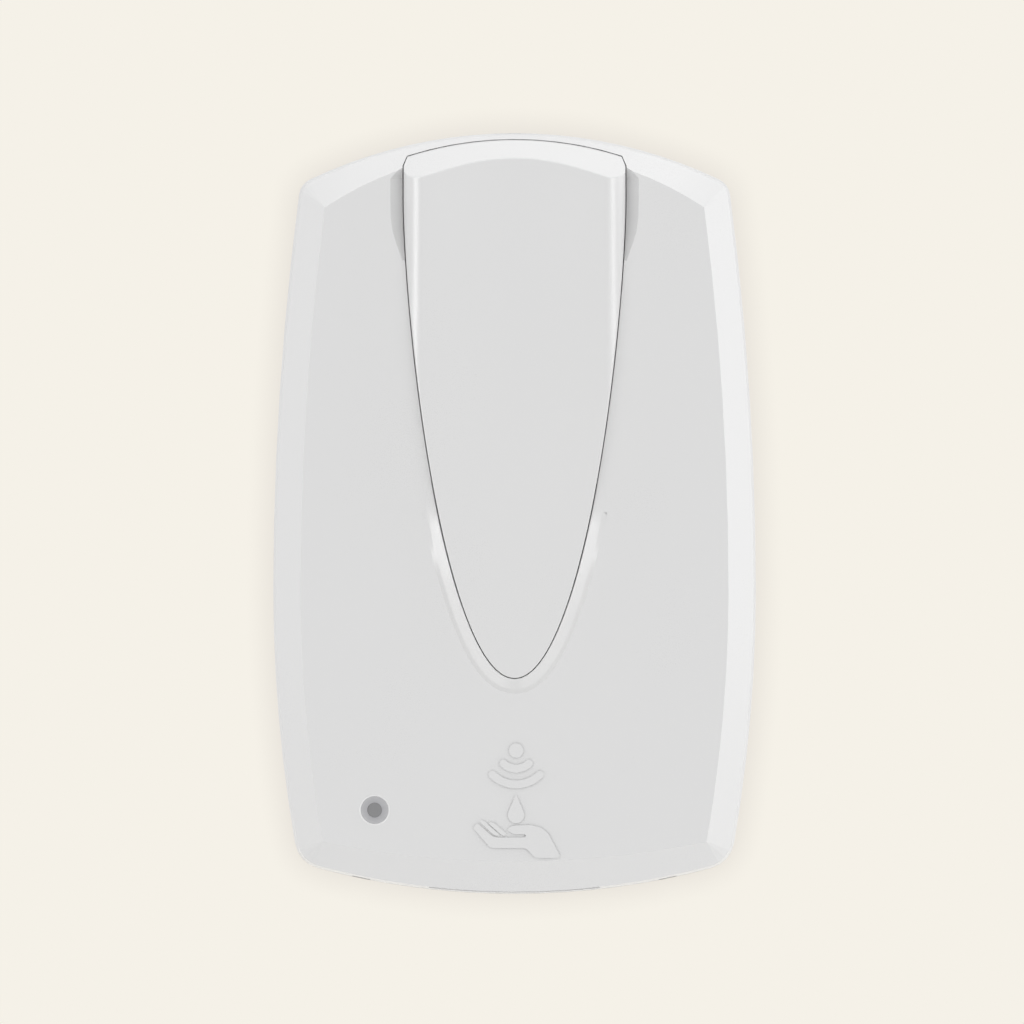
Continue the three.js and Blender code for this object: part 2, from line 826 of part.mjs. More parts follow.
function tongueSolid() {
  const trims = eachSide((side) => {
    const inward = tongueHalfWidth - tongueCornerAcross;
    const corner = tongueCrownAt(tongueHalfWidth) - tongueCornerDrop;
    const high = tongueCrownAt(inward) + overrun;
    const out = tongueHalfWidth + overrun;
    const start = [inward, tongueCrownAt(inward)];
    const points = [start, [tongueHalfWidth, corner], [out, corner], [out, high], [inward, high]];
    return extrudedForward(points.map(([x, z]) => [side * x, z]), pocketFloor, cutReach);
  });
  const coreLow = bodyTop - tongueHollowDrop;
  const coreHalf = tongueHalf(coreLow) - tongueSkin;
  const coreHigh = tongueShoulderLevel - tongueSkin;
  const core = block([-coreHalf, coreHalf], [pocketFloor, faceDepth], [coreLow, coreHigh]);
  return cut(tongueForm(), core, ...trims);
}

// The lens, held by a flange behind the cover's face, its front dished round its eye
function lensSolid() {
  const flangeFront = innerFace - seatGap;
  const eyeDepth = faceDepth - lensDish;
  return turnedForward([
    [0, eyeDepth - lensLength],
    [lensRadius, eyeDepth - lensLength],
    [lensRadius, flangeFront - lensFlange],
    [lensRadius + lensFlange, flangeFront - lensFlange],
    [lensRadius + lensFlange, flangeFront],
    [lensRadius, flangeFront],
    [lensRadius, faceDepth - lensSink],
    [lensEyeRadius, eyeDepth],
    [0, eyeDepth],
  ], -statusAcross, -statusDrop);
}

piece(coverGroup, "cover", coverSolid(), materials.shell);
piece(coverGroup, "tongue_panel", tongueSolid(), materials.shell);
piece(coverGroup, "status_lens", lensSolid(), materials.clearLens);

const magnetRight = magnetFace - seatGap;
const magnetBox = block(
  [magnetRight - magnetThickness, magnetRight],
  [magnetDepth - magnetSize / 2, magnetDepth + magnetSize / 2],
  [magnetLevel - magnetSize / 2, magnetLevel + magnetSize / 2],
);
piece(coverGroup, "cover_magnet", magnetBox, materials.steel);

// A screw along the depth, its head to the front; its seat is the underside of the head
function screw(group, name, x, z, seat, length = screwLength) {
  const made = turned([
    [0, -length],
    [screwRadius, -length],
    [screwRadius, 0],
    [screwHeadRadius, 0],
    [screwHeadRadius, screwHeadHeight],
    [0, screwHeadHeight],
  ], smallSides);
  piece(group, name, made.rotate([90, 0, 0]), materials.steel, { x, z, depth: seat });
}

function screwHole(x, z, seat, length = screwLength) {
  const rear = seat - length - seatGap;
  return forwardRod(screwRadius + seatGap, rear, seat + overrun, x, z, smallSides);
}

// The wall plate: it carries the hinge ears, the board's bosses and the reed switch's post
const wallGroup = assembly("wall_assembly");
const plateInset = coverWall + plateGap;
const plateFront = plateThickness;
const boardRear = plateFront + boardStandoff;
const boardFront = boardRear + boardThickness;
const bossAcross = boardWidth / 2 - bossInset;
const bossLevels = [boardLow + bossInset, boardHigh - bossInset];
const reedAcross = bodyWidth / 2 - reedInset;
const reedDepth = plateFront + reedPost + seatGap + reedRadius;
const shelfScrewShare = 0.7;
const shelfScrewAcross = (shelfWidth / 2) * shelfScrewShare;
const shelfScrewLevel = shelfTop + shelfFlange / 2;
const shelfFlangeFront = plateFront + shelfThickness;
const keeperTop = lockTop - lockLength - camThickness - camLug - keeperWall;
const keeperLevel = keeperTop - camWidth;
const keeperScrewAcross = -keeperWall;
const keeperSeat = plateFront + keeperBase;
const screwBossRadius = screwRadius + keeperWall;

function ear(side) {
  const [left, right] = span(side, earInner, earOuter);
  const round = crossRod(knuckleRadius, left, right, hingeDepth, hingeLevel);
  const armLevels = [hingeLevel - knuckleRadius, hingeLevel + knuckleRadius];
  const arm = block([left, right], [plateFront, hingeDepth], armLevels);
  const gussetDepths = [plateFront, plateFront + earWidth];
  const gusset = block([left, right], gussetDepths, [hingeLevel, hingeLevel + hingeDepth]);
  return join(round, arm, gusset);
}

function keyhole(side, level) {
  const x = (side * wallHoleSpacingX) / 2;
  const across = [x - wallSlotRadius, x + wallSlotRadius];
  const slotTop = level + wallSlotLength;
  return join(
    forwardRod(wallHoleRadius, -overrun, plateFront + overrun, x, level, smallSides),
    forwardRod(wallSlotRadius, -overrun, plateFront + overrun, x, slotTop, smallSides),
    block(across, [-overrun, plateFront + overrun], [level, slotTop]),
  );
}

function wallPlate() {
  const below = block([-cutReach, cutReach], [-cutReach, cutReach], [-cutReach, hingeLevel - seatGap]);
  const lipDepth = plateFront + plateLip;
  const heelLevels = [hingeLevel - seatGap, hingeLevel + hingeDepth];
  const heelRelief = eachSide((side) => {
    return block(span(side, plateHeelHalf, cutReach), [-overrun, cutReach], heelLevels);
  });
  const upper = cut(extrudedForward(outline(drawnIn(rimSizes, plateInset)), 0, plateFront), ...heelRelief);
  const whole = extrudedForward(outline(rimSizes), 0, lipDepth).intersect(below);
  const heelClear = heelRadius + looseGap;
  const heelSpace = crossRod(heelClear, -cutReach, cutReach, hingeDepth, hingeLevel, 2 * roundSides);
  const foot = cut(whole, heelSpace);
  const rimOuter = extrudedForward(outline(drawnIn(rimSizes, plateInset)), 0, plateFront + rimHeight);
  const rimInner = extrudedForward(outline(drawnIn(rimSizes, plateInset + rimWidth)), -overrun, cutReach);
  const rimClear = block([-cutReach, cutReach], [-overrun, cutReach], [-cutReach, bodyBottom + rimStart]);
  const lockClear = block([-plateLockNotch, plateLockNotch], [plateFront, cutReach], [0, cutReach]);
  const rim = cut(rimOuter, rimInner, rimClear, lockClear);
  const bosses = [];
  const tapped = [];
  for (const x of [-bossAcross, bossAcross]) {
    for (const z of bossLevels) bosses.push(forwardRod(bossRadius, 0, boardRear, x, z, smallSides));
    tapped.push(screwHole(x, bossLevels[1], boardFront));
    const flangeX = Math.sign(x) * shelfScrewAcross;
    tapped.push(screwHole(flangeX, shelfScrewLevel, shelfFlangeFront, plateScrewLength));
  }
  tapped.push(screwHole(keeperScrewAcross, keeperLevel, keeperSeat, plateScrewLength));
  const post = block(
    [reedAcross - reedRadius, reedAcross + reedRadius],
    [0, plateFront + reedPost],
    [magnetLevel - reedLength / 3, magnetLevel + reedLength / 3],
  );
  const keyholes = [];
  for (const level of [-wallHoleSpacingZ / 2, wallHoleSpacingZ / 2]) {
    keyholes.push(...eachSide((side) => keyhole(side, level)));
  }
  const plate = join(upper, foot, rim, ...eachSide(ear), ...bosses, post);
  return cut(plate, ...keyholes, ...tapped, ...eachSide(pinHole));
}

piece(wallGroup, "wall_plate", wallPlate(), materials.innerPlastic);
for (const [name, side] of [["hinge_pin_left", -1], ["hinge_pin_right", 1]]) {
  const [left, right] = span(side, earInner, knuckleOuter);
  piece(wallGroup, name, crossRod(pinRadius, left, right, hingeDepth, hingeLevel), materials.steel);
}
const reedLevels = [magnetLevel - reedLength / 2, magnetLevel + reedLength / 2];
const reed = uprightRod(reedRadius, ...reedLevels, reedAcross, reedDepth, smallSides);
piece(wallGroup, "reed_switch", reed, materials.greyPlastic);

// The shelf that the bottle stands on, with a slot for its neck and cheeks down to the outlet
const shelfGroup = assembly("shelf_assembly");
const cheekLow = innerFloor + soleRise(shelfWidth / 2) + cheekLift;
const cheekInner = shelfWidth / 2 - shelfThickness;
const neckSlot = neckRadius + looseGap;
const ledRear = shelfReach - shelfThickness / 2;
const ledTab = [statusAcross - ledLength, statusAcross + ledLength];

// How far the curved bottom rises at a distance from the middle
function soleRise(across) {
  return soleRadius - Math.sqrt(soleRadius ** 2 - across ** 2);
}

function shelfSolid() {
  const half = shelfWidth / 2;
  const cheekFront = ledRear - shelfThickness;
  const plate = block([-half, half], [plateFront, shelfReach], [shelfUnderside, shelfTop]);
  const flange = block([-half, half], [plateFront, shelfFlangeFront], [shelfTop, shelfTop + shelfFlange]);
  const cheeks = eachSide((side) => {
    const across = span(side, cheekInner, half);
    const high = block(across, [shelfFlangeFront, cheekFront], [hingeLevel + hingeDepth, shelfUnderside]);
    const low = block(across, [cheekNotch, cheekFront], [cheekLow, shelfUnderside]);
    return join(high, low);
  });
  const tabLow = -statusDrop - ledLength;
  const tab = block(span(-1, ...ledTab), [cheekFront, ledRear], [tabLow, -statusDrop + ledLength]);
  const slotLevels = [shelfUnderside - overrun, shelfTop + overrun];
  const slotRound = uprightRod(neckSlot, ...slotLevels, 0, bottleMiddle);
  const slotRun = block([-neckSlot, neckSlot], [bottleMiddle, cutReach], slotLevels);
  const holes = eachSide((side) => {
    return screwHole(side * shelfScrewAcross, shelfScrewLevel, shelfFlangeFront, plateScrewLength);
  });
  return cut(join(plate, flange, ...cheeks, tab), slotRound, slotRun, ...holes);
}

piece(shelfGroup, "bottle_shelf", shelfSolid(), materials.innerPlastic);
for (const [name, side] of [["shelf_screw_left", -1], ["shelf_screw_right", 1]]) {
  screw(shelfGroup, name, side * shelfScrewAcross, shelfScrewLevel, shelfFlangeFront, plateScrewLength);
}

function ledProfile(length) {
  return [
    [0, 0],
    [ledRadius + ledFlange, 0],
    [ledRadius + ledFlange, ledFlange],
    [ledRadius, ledFlange],
    [ledRadius, length - ledRadius],
    [ledRadius * Math.SQRT1_2, length - ledRadius * (1 - Math.SQRT1_2)],
    [0, length],
  ];
}

const statusLed = turned(ledProfile(ledLength), smallSides).rotate([90, 0, 0]);
const ledPlace = { x: -statusAcross, z: -statusDrop, depth: ledRear };
piece(shelfGroup, "status_led", statusLed, materials.clearLens, ledPlace);

// The refill bottle: neck down through the shelf, filled through a mouth at its top
const bottleGroup = assembly("bottle_assembly");
const bottleLow = shelfTop + seatGap;
const bottleHigh = bodyTop - bottleHeadroom;
const neckEnd = bottleLow - neckLength;

// A rounded rectangle of [x, depth] points, drawn in by a wall's thickness
function bottlePlan(distance) {
  const corner = bottleCorner - distance;
  const half = shelfWidth / 2 - bottleCorner;
  const [rear, front] = [bottleRear + bottleCorner, bottleFront - bottleCorner];
  return [
    ...arc([half, front], corner, 0, quarterTurn, cornerSteps),
    [half, front + corner],
    ...arc([-half, front], corner, quarterTurn, 2 * quarterTurn, cornerSteps),
    [-half - corner, front],
    ...arc([-half, rear], corner, 2 * quarterTurn, 3 * quarterTurn, cornerSteps),
    [-half, rear - corner],
    ...arc([half, rear], corner, 3 * quarterTurn, 4 * quarterTurn, cornerSteps),
    [half + corner, rear],
  ];
}

function bottleSolid() {
  const mouthTop = bottleHigh + fillLip;
  const body = extrudedUp(bottlePlan(0), bottleLow, bottleHigh);
  const inside = extrudedUp(bottlePlan(bottleWall), bottleLow + bottleWall, bottleHigh - bottleWall);
  const neck = uprightRod(neckRadius, neckEnd, bottleLow + bottleWall, 0, bottleMiddle);
  const neckHole = uprightRod(neckBore, neckEnd - overrun, bottleLow + 2 * bottleWall, 0, bottleMiddle);
  const mouth = uprightRod(fillRadius, bottleHigh - bottleWall, mouthTop, 0, bottleMiddle);
  const mouthBore = fillRadius - bottleWall;
  const mouthHole = uprightRod(mouthBore, bottleHigh - 2 * bottleWall, mouthTop + overrun, 0, bottleMiddle);
  return cut(join(body, neck, mouth), inside, neckHole, mouthHole);
}

function capSolid() {
  const low = seatGap;
  const rim = fillLip + seatGap;
  const outer = fillRadius + bottleWall + seatGap;
  const crown = turned([
    [0, rim],
    [fillRadius + seatGap, rim],
    [fillRadius + seatGap, low],
    [outer, low],
    [outer, capHeight - softEdge],
    [outer - softEdge, capHeight],
    [0, capHeight],
  ]);
  const grips = [];
  for (let i = 0; i < capGrips; i++) {
    const gripAcross = [outer - capGrip, outer + capGrip];
    const grip = block(gripAcross, [-capGrip / 2, capGrip / 2], [low, capHeight - softEdge]);
    grips.push(grip.rotate([0, 0, (360 * i) / capGrips]));
  }
  return join(crown, ...grips);
}

const collarTop = shelfUnderside - collarGap;
const gasketLow = neckEnd - gasketThickness;
const pumpFlangeLow = gasketLow - pumpFlange;
const collarLow = pumpFlangeLow - collarFloor;
const springRoom = pumpStroke + springSolid;
const nozzleFlangeTop = collarLow - springRoom;
const nozzleFlangeLow = nozzleFlangeTop - nozzleFlangeHeight;
const nozzleTip = nozzleFlangeLow - nozzleLength;
const onPumpAxis = { depth: bottleMiddle };

function collarSolid() {
  return turned([
    [stemRadius + nozzleBore, collarLow],
    [collarRadius, collarLow],
    [collarRadius, collarTop],
    [neckRadius + seatGap, collarTop],
    [neckRadius + seatGap, pumpFlangeLow],
    [stemRadius + nozzleBore, pumpFlangeLow],
    [stemRadius + nozzleBore, collarLow],
  ]);
}

function gasketSolid() {
  const bore = pumpRadius + seatGap;
  return turned([
    [bore, gasketLow],
    [neckRadius, gasketLow],
    [neckRadius, neckEnd],
    [bore, neckEnd],
    [bore, gasketLow],
  ]);
}

function pumpBodySolid() {
  const high = pumpFlangeLow + pumpLength;
  return turned([
    [stemRadius + seatGap, pumpFlangeLow],
    [neckRadius, pumpFlangeLow],
    [neckRadius, gasketLow],
    [pumpRadius, gasketLow],
    [pumpRadius, high],
    [nozzleBore, high],
    [nozzleBore, high - pumpFlange],
    [pumpBore, high - pumpFlange],
    [pumpBore, gasketLow],
    [stemRadius + seatGap, gasketLow],
    [stemRadius + seatGap, pumpFlangeLow],
  ]);
}

function pistonSolid() {
  const headLow = gasketLow + seatGap;
  const taper = nozzleRadius - softEdge;
  return turned([
    [0, nozzleTip + nozzleRadius],
    [nozzleBore, nozzleTip + nozzleRadius],
    [nozzleBore, nozzleTip],
    [taper, nozzleTip],
    [nozzleRadius, nozzleFlangeLow],
    [nozzleFlangeRadius, nozzleFlangeLow],
    [nozzleFlangeRadius, nozzleFlangeTop],
    [stemRadius, nozzleFlangeTop],
    [stemRadius, headLow],
    [pumpBore - seatGap, headLow],
    [pumpBore - seatGap, headLow + pistonLength],
    [0, headLow + pistonLength],
  ]);
}

// A line that winds round the pump's stem from one level to another
class SpringLine extends THREE.Curve {
  getPoint(share, target = new THREE.Vector3()) {
    const angle = share * springTurns * 4 * quarterTurn;
    const clear = seatGap + springWire;
    const low = nozzleFlangeTop + clear;
    const height = springRoom - 2 * clear;
    const x = springRadius * Math.cos(angle);
    const y = springRadius * Math.sin(angle);
    return target.set(x, y, low + height * share);
  }
}

function springSolidForm() {
  const section = new THREE.Shape();
  section.absarc(0, 0, springWire, 0, 4 * quarterTurn, false);
  return solid(new THREE.ExtrudeGeometry(section, {
    extrudePath: new SpringLine(),
    steps: springTurns * springSteps,
    curveSegments: springSides,
    bevelEnabled: false,
  }));
}

piece(bottleGroup, "refill_bottle", bottleSolid(), materials.bottlePlastic);
piece(bottleGroup, "fill_cap", capSolid(), materials.pumpPlastic, { ...onPumpAxis, z: bottleHigh });
piece(bottleGroup, "neck_gasket", gasketSolid(), materials.rubber, onPumpAxis);
piece(bottleGroup, "pump_collar", collarSolid(), materials.pumpPlastic, onPumpAxis);
piece(bottleGroup, "pump_body", pumpBodySolid(), materials.pumpPlastic, onPumpAxis);
piece(bottleGroup, "pump_piston", pistonSolid(), materials.pumpPlastic, onPumpAxis);
piece(bottleGroup, "pump_spring", springSolidForm(), materials.steel, onPumpAxis);

// The drive: motor pinion, first gear, output gear and the rack on the fork
const driveGroup = assembly("drive_assembly");
const driveLevel = bodyBottom + driveLift;
const motorPitch = (gearModule * motorTeeth) / 2;
const wheelPitch = (gearModule * wheelTeeth) / 2;
const pinionPitch = (gearModule * pinionTeeth) / 2;
const outputPitch = (rackModule * pinionTeeth) / 2;
const rackDedendum = rackModule * dedendumShare;
const rackPitchLine = -forkHalfWidth - rackDedendum;
const outputAcross = rackPitchLine - outputPitch - meshClearance;
const firstAcross = outputAcross + pinionPitch + wheelPitch + meshClearance;
const motorAcross = firstAcross + motorPitch + wheelPitch + meshClearance;
const caseInside = caseRear + caseWall;
const firstRear = caseInside + gearEndGap;
const secondRear = firstRear + gearWidth + gearGap;
const caseLid = secondRear + gearWidth + gearEndGap;
const caseFront = caseLid + caseWall;
const outputRear = caseFront + gearGap;
const outputFront = outputRear + gearWidth + gearGap;
const hubRadius = axleRadius + seatGap + pinRadius;
const caseHigh = shelfUnderside - seatGap;
const caseLow = bodyBottom + caseFloorLift;
const caseLeft = outputAcross - wheelPitch - gearModule - gearGap - caseWall;
const caseRight = motorAcross + motorRadius + screwHeadRadius;
const caseScrewInset = screwBossRadius + gearGap / 2;

// The outline of an involute gear with a tooth at its phase
function gearOutline(teeth, size, phase) {
  const pitch = (size * teeth) / 2;
  const base = pitch * Math.cos(pressureAngle);
  const tip = pitch + size * addendumShare;
  const root = pitch - size * dedendumShare;
  const involute = (radius) => {
    if (radius <= base) return 0;
    const angle = Math.acos(base / radius);
    return Math.tan(angle) - angle;
  };
  const halfAtPitch = ((Math.PI * size) / 2 - backlash) / (2 * pitch);
  const halfAt = (radius) => halfAtPitch + involute(pitch) - involute(radius);
  const start = Math.max(base, root);
  const radii = [start, pitch, tip];
  if (start > root) radii.unshift(root);
  const points = [];
  for (let i = 0; i < teeth; i++) {
    const middle = phase + (4 * quarterTurn * i) / teeth;
    for (const radius of radii) {
      const angle = middle - halfAt(radius);
      points.push([radius * Math.cos(angle), radius * Math.sin(angle)]);
    }
    for (const radius of [...radii].reverse()) {
      const angle = middle + halfAt(radius);
      points.push([radius * Math.cos(angle), radius * Math.sin(angle)]);
    }
  }
  return points;
}

// A gear wheel on its own axis, from one depth to another, with its bore
function wheel(teeth, size, phase, rear, front) {
  return extrudedForward(gearOutline(teeth, size, phase), rear, front);
}

const tipOut = 2 * quarterTurn;
const gapIn = (2 * quarterTurn) / wheelTeeth;

function motorPinion() {
  const shaft = forwardRod(motorShaft, motorRear + motorRadius, firstRear + overrun, 0, 0, smallSides);
  return join(wheel(motorTeeth, gearModule, tipOut, firstRear, firstRear + gearWidth), shaft);
}

function firstGear() {
  const bore = forwardRod(axleRadius + seatGap, caseRear, caseFront, 0, 0);
  const large = wheel(wheelTeeth, gearModule, gapIn, firstRear, firstRear + gearWidth);
  const small = wheel(pinionTeeth, gearModule, tipOut, firstRear + gearWidth, secondRear + gearWidth);
  return cut(join(large, small), bore);
}

function outputGear() {
  const bore = forwardRod(axleRadius + seatGap, caseRear, outputFront + overrun, 0, 0);
  const large = wheel(wheelTeeth, gearModule, gapIn, secondRear, secondRear + gearWidth);
  const hub = forwardRod(hubRadius, secondRear + gearWidth, outputRear, 0, 0);
  const small = wheel(pinionTeeth, rackModule, 0, outputRear, outputFront);
  return cut(join(large, hub, small), bore);
}

function motorSolid() {
  const front = caseRear - seatGap;
  const can = forwardRod(motorRadius, motorRear, front, 0, 0);
  const boss = forwardRod(motorBoss, front, caseInside, 0, 0);
  const boreRear = motorRear + motorRadius - seatGap;
  const bore = forwardRod(motorShaft + seatGap, boreRear, caseInside + overrun, 0, 0, smallSides);
  return cut(join(can, boss), bore);
}

function caseCorners() {
  const left = caseLeft + caseScrewInset;
  const right = caseRight - caseScrewInset;
  const low = caseLow + caseScrewInset;
  const high = caseHigh - caseScrewInset;
  return [[left, low], [right, low], [right, high], [left, high]];
}

function caseRearSolid() {
  const outer = block([caseLeft, caseRight], [caseRear, caseLid], [caseLow, caseHigh]);
  const across = [caseLeft + caseWall, caseRight - caseWall];
  const inner = block(across, [caseInside, cutReach], [caseLow + caseWall, caseHigh - caseWall]);
  const bosses = caseCorners().map(([x, z]) => {
    return forwardRod(screwBossRadius, caseRear, caseLid, x, z, smallSides);
  });
  const holes = caseCorners().map(([x, z]) => screwHole(x, z, caseFront));
  const through = [caseRear - overrun, caseInside + overrun];
  const motorHole = forwardRod(motorBoss + seatGap, ...through, motorAcross, driveLevel);
  const axles = axleHoles(...through);
  return cut(join(cut(outer, inner), ...bosses), ...holes, motorHole, ...axles);
}

function axleHoles(rear, front) {
  const radius = axleRadius + seatGap;
  return [firstAcross, outputAcross].map((x) => forwardRod(radius, rear, front, x, driveLevel));
}

const guideLow = driveLevel - guideHeight / 2;
const guideHigh = driveLevel + guideHeight / 2;
const forkRear = outputRear;
const forkFront = forkRear + forkThickness;
const guideHeadRear = forkFront + gearGap;

function caseLidSolid() {
  const rear = caseLid + seatGap;
  const plate = block([caseLeft, caseRight], [rear, caseFront], [caseLow, caseHigh]);
  const halfGuide = guideWidth / 2;
  const guide = block([-halfGuide, halfGuide], [rear, guideHeadRear], [guideLow, guideHigh]);
  const headDepths = [guideHeadRear, guideHeadRear + guideHead];
  const head = block([-guideWidth, guideWidth], headDepths, [guideLow, guideHigh]);
  const holes = caseCorners().map(([x, z]) => screwHole(x, z, caseFront));
  const through = [caseLid, caseFront + overrun];
  const hubHole = forwardRod(hubRadius + gearGap, ...through, outputAcross, driveLevel);
  const firstHole = forwardRod(axleRadius + seatGap, ...through, firstAcross, driveLevel);
  return cut(join(plate, guide, head), ...holes, hubHole, firstHole);
}

const armTop = nozzleFlangeLow - seatGap;
const armLow = armTop - forkArmHeight;
const forkTop = armTop + forkRise;
const forkLow = armLow - forkFoot;
const armInner = nozzleRadius + armGap;

// The rack's teeth, with a gap at the level of the output gear's axis
function rackOutline() {
  const pitch = Math.PI * rackModule;
  const slope = Math.tan(pressureAngle);
  const tip = rackPitchLine - rackModule * addendumShare;
  const root = -forkHalfWidth;
  const halfAtPitch = (pitch / 2 - backlash) / 2;
  const halfAtTip = halfAtPitch - rackModule * addendumShare * slope;
  const halfAtRoot = halfAtPitch + rackDedendum * slope;
  const points = [[root + rackDedendum, forkTop], [root, forkTop]];
  for (let i = 0; i < rackTeeth; i++) {
    const middle = driveLevel + (rackTeethAbove - i - 1 / 2) * pitch;
    points.push([root, middle + halfAtRoot], [tip, middle + halfAtTip]);
    points.push([tip, middle - halfAtTip], [root, middle - halfAtRoot]);
  }
  points.push([root, forkLow], [root + rackDedendum, forkLow]);
  return points;
}

function forkSolid() {
  const plate = block([-forkHalfWidth, forkHalfWidth], [forkRear, forkFront], [forkLow, forkTop]);
  const rack = extrudedForward(rackOutline(), forkRear, forkFront);
  const slotHalf = guideWidth / 2 + seatGap;
  const slotLow = guideLow - guideRun;
  const slotDepths = [forkRear - overrun, forkFront + overrun];
  const slot = block([-slotHalf, slotHalf], slotDepths, [slotLow, forkTop + overrun]);
  const arms = eachSide((side) => {
    const across = span(side, armInner, armInner + forkArmWidth);
    return block(across, [forkRear, forkRear + forkReach], [armLow, armTop]);
  });
  return cut(join(plate, rack, ...arms), slot);
}

const axleProfile = (front) => forwardRod(axleRadius, caseRear + gearGap, front, 0, 0, smallSides);
const placeOn = (x) => ({ x, z: driveLevel });
piece(driveGroup, "motor", motorSolid(), materials.zincPlate, placeOn(motorAcross));
piece(driveGroup, "motor_pinion", motorPinion(), materials.brassPlate, placeOn(motorAcross));
piece(driveGroup, "first_gear", firstGear(), materials.gearPlastic, placeOn(firstAcross));
piece(driveGroup, "output_gear", outputGear(), materials.gearPlastic, placeOn(outputAcross));
piece(driveGroup, "first_axle", axleProfile(caseFront), materials.steel, placeOn(firstAcross));
piece(driveGroup, "output_axle", axleProfile(outputFront), materials.steel, placeOn(outputAcross));
piece(driveGroup, "drive_case_rear", caseRearSolid(), materials.greyPlastic);
piece(driveGroup, "drive_case_lid", caseLidSolid(), materials.greyPlastic);
piece(driveGroup, "lift_fork", forkSolid(), materials.gearPlastic);
caseCorners().forEach(([x, z], i) => screw(driveGroup, `case_screw_${i + 1}`, x, z, caseFront));

// The battery box with its cells, contacts and sliding door
const batteryGroup = assembly("battery_assembly");
const bayHalf = (cellPitch * cellCount) / 2 + cellGap;
const bayRear = plateFront + boxWall;
const bayFront = bayRear + 2 * (cellRadius + cellGap);
const doorFront = bayFront + seatGap + doorThickness;
const boxFront = doorFront + seatGap + boxWall;
const boxHalf = bayHalf + boxWall;
const cellDepth = (bayRear + bayFront) / 2;
const cellLow = bayLow + contactThickness + looseGap;

function batteryBoxSolid() {
  const outer = block([-boxHalf, boxHalf], [plateFront, boxFront], [boxLow, boxHigh]);
  const bay = block([-bayHalf, bayHalf], [bayRear, bayFront], [bayLow, bayHigh]);
  const openLevels = [bayLow, boxHigh + overrun];
  const channel = block([-bayHalf, bayHalf], [bayFront, boxFront - boxWall], openLevels);
  const windowHalf = bayHalf - doorLip;
  const window = block([-windowHalf, windowHalf], [bayFront, boxFront + overrun], openLevels);
  return cut(outer, bay, channel, window);
}

function doorSolid() {
  const half = bayHalf - seatGap;
  const rear = doorFront - doorThickness;
  const leaf = block([-half, half], [rear, doorFront], [bayLow + seatGap, boxHigh]);
  const gripHalf = half / 3;
  const gripLevels = [boxHigh - 2 * doorGrip, boxHigh - doorGrip];
  const grip = block([-gripHalf, gripHalf], [rear, doorFront + doorGrip], gripLevels);
  return join(leaf, grip);
}

function cellSolid() {
  const shoulder = cellLength - cellNubHeight;
  return turned([
    [0, 0],
    [cellRadius - softEdge, 0],
    [cellRadius, softEdge],
    [cellRadius, shoulder - softEdge],
    [cellRadius - softEdge, shoulder],
    [cellNub, shoulder],
    [cellNub, cellLength],
    [0, cellLength],
  ]);
}

function contactSolid(firstCell, lastCell, low) {
  const half = contactWidth / 2;
  const across = [cellAcross(firstCell) - half, cellAcross(lastCell) + half];
  const depths = [cellDepth - half, cellDepth + half];
  return block(across, depths, [low, low + contactThickness]);
}

function cellAcross(i) {
  return (i - (cellCount - 1) / 2) * cellPitch;
}

piece(batteryGroup, "battery_box", batteryBoxSolid(), materials.innerPlastic);
piece(batteryGroup, "battery_door", doorSolid(), materials.innerPlastic);
for (let i = 0; i < cellCount; i++) {
  const upsideDown = i % 2 === 1;
  const made = upsideDown ? cellSolid().rotate([180, 0, 0]).translate([0, 0, cellLength]) : cellSolid();
  const place = { x: cellAcross(i), depth: cellDepth, z: cellLow };
  piece(batteryGroup, `battery_cell_${i + 1}`, made, materials.cellSleeve, place);
}
const lowContact = bayLow + seatGap;
const highContact = bayHigh - seatGap - contactThickness;
piece(batteryGroup, "contact_low_left", contactSolid(0, 1, lowContact), materials.brassPlate);
piece(batteryGroup, "contact_low_right", contactSolid(2, 3, lowContact), materials.brassPlate);
piece(batteryGroup, "contact_high_left", contactSolid(0, 0, highContact), materials.brassPlate);
piece(batteryGroup, "contact_high_middle", contactSolid(1, 2, highContact), materials.brassPlate);
piece(batteryGroup, "contact_high_right", contactSolid(3, 3, highContact), materials.brassPlate);

// The control board on the wall plate's bosses, with its power switch
const boardGroup = assembly("board_assembly");
const switchLow = boardLow + switchRise;
const switchLeft = switchShift;
const switchRear = boardFront + seatGap;
const switchFront = switchRear + switchDepth;
const slotWall = (switchWidth - knobWidth - switchTravel) / 2 - seatGap;

function boardSolid() {
  const half = boardWidth / 2;
  const board = block([-half, half], [boardRear + seatGap, boardFront], [boardLow, boardHigh]);
  const holes = [-bossAcross, bossAcross].map((x) => screwHole(x, bossLevels[1], boardFront));
  return cut(board, ...holes);
}

function switchBodySolid() {
  const right = switchLeft + switchWidth;
  const body = block([switchLeft, right], [switchRear, switchFront], [switchLow, switchLow + switchHeight]);
  const slot = block(
    [switchLeft + slotWall, right - slotWall],
    [switchRear + switchDepth / 2, switchFront + overrun],
    [switchLow + switchHeight / 4, switchLow + (3 * switchHeight) / 4],
  );
  return cut(body, slot);
}

function switchKnobSolid() {
  const left = switchLeft + slotWall + seatGap;
  return block(
    [left, left + knobWidth],
    [switchRear + switchDepth / 2 + seatGap, switchFront + knobReach - knobWidth / 2],
    [switchLow + switchHeight / 4 + seatGap, switchLow + (3 * switchHeight) / 4 - seatGap],
  );
}

piece(boardGroup, "control_board", boardSolid(), materials.circuitBoard);
piece(boardGroup, "switch_body", switchBodySolid(), materials.darkPlastic);
piece(boardGroup, "power_switch", switchKnobSolid(), materials.pumpPlastic);
screw(boardGroup, "board_screw_left", -bossAcross, bossLevels[1], boardFront);
screw(boardGroup, "board_screw_right", bossAcross, bossLevels[1], boardFront);

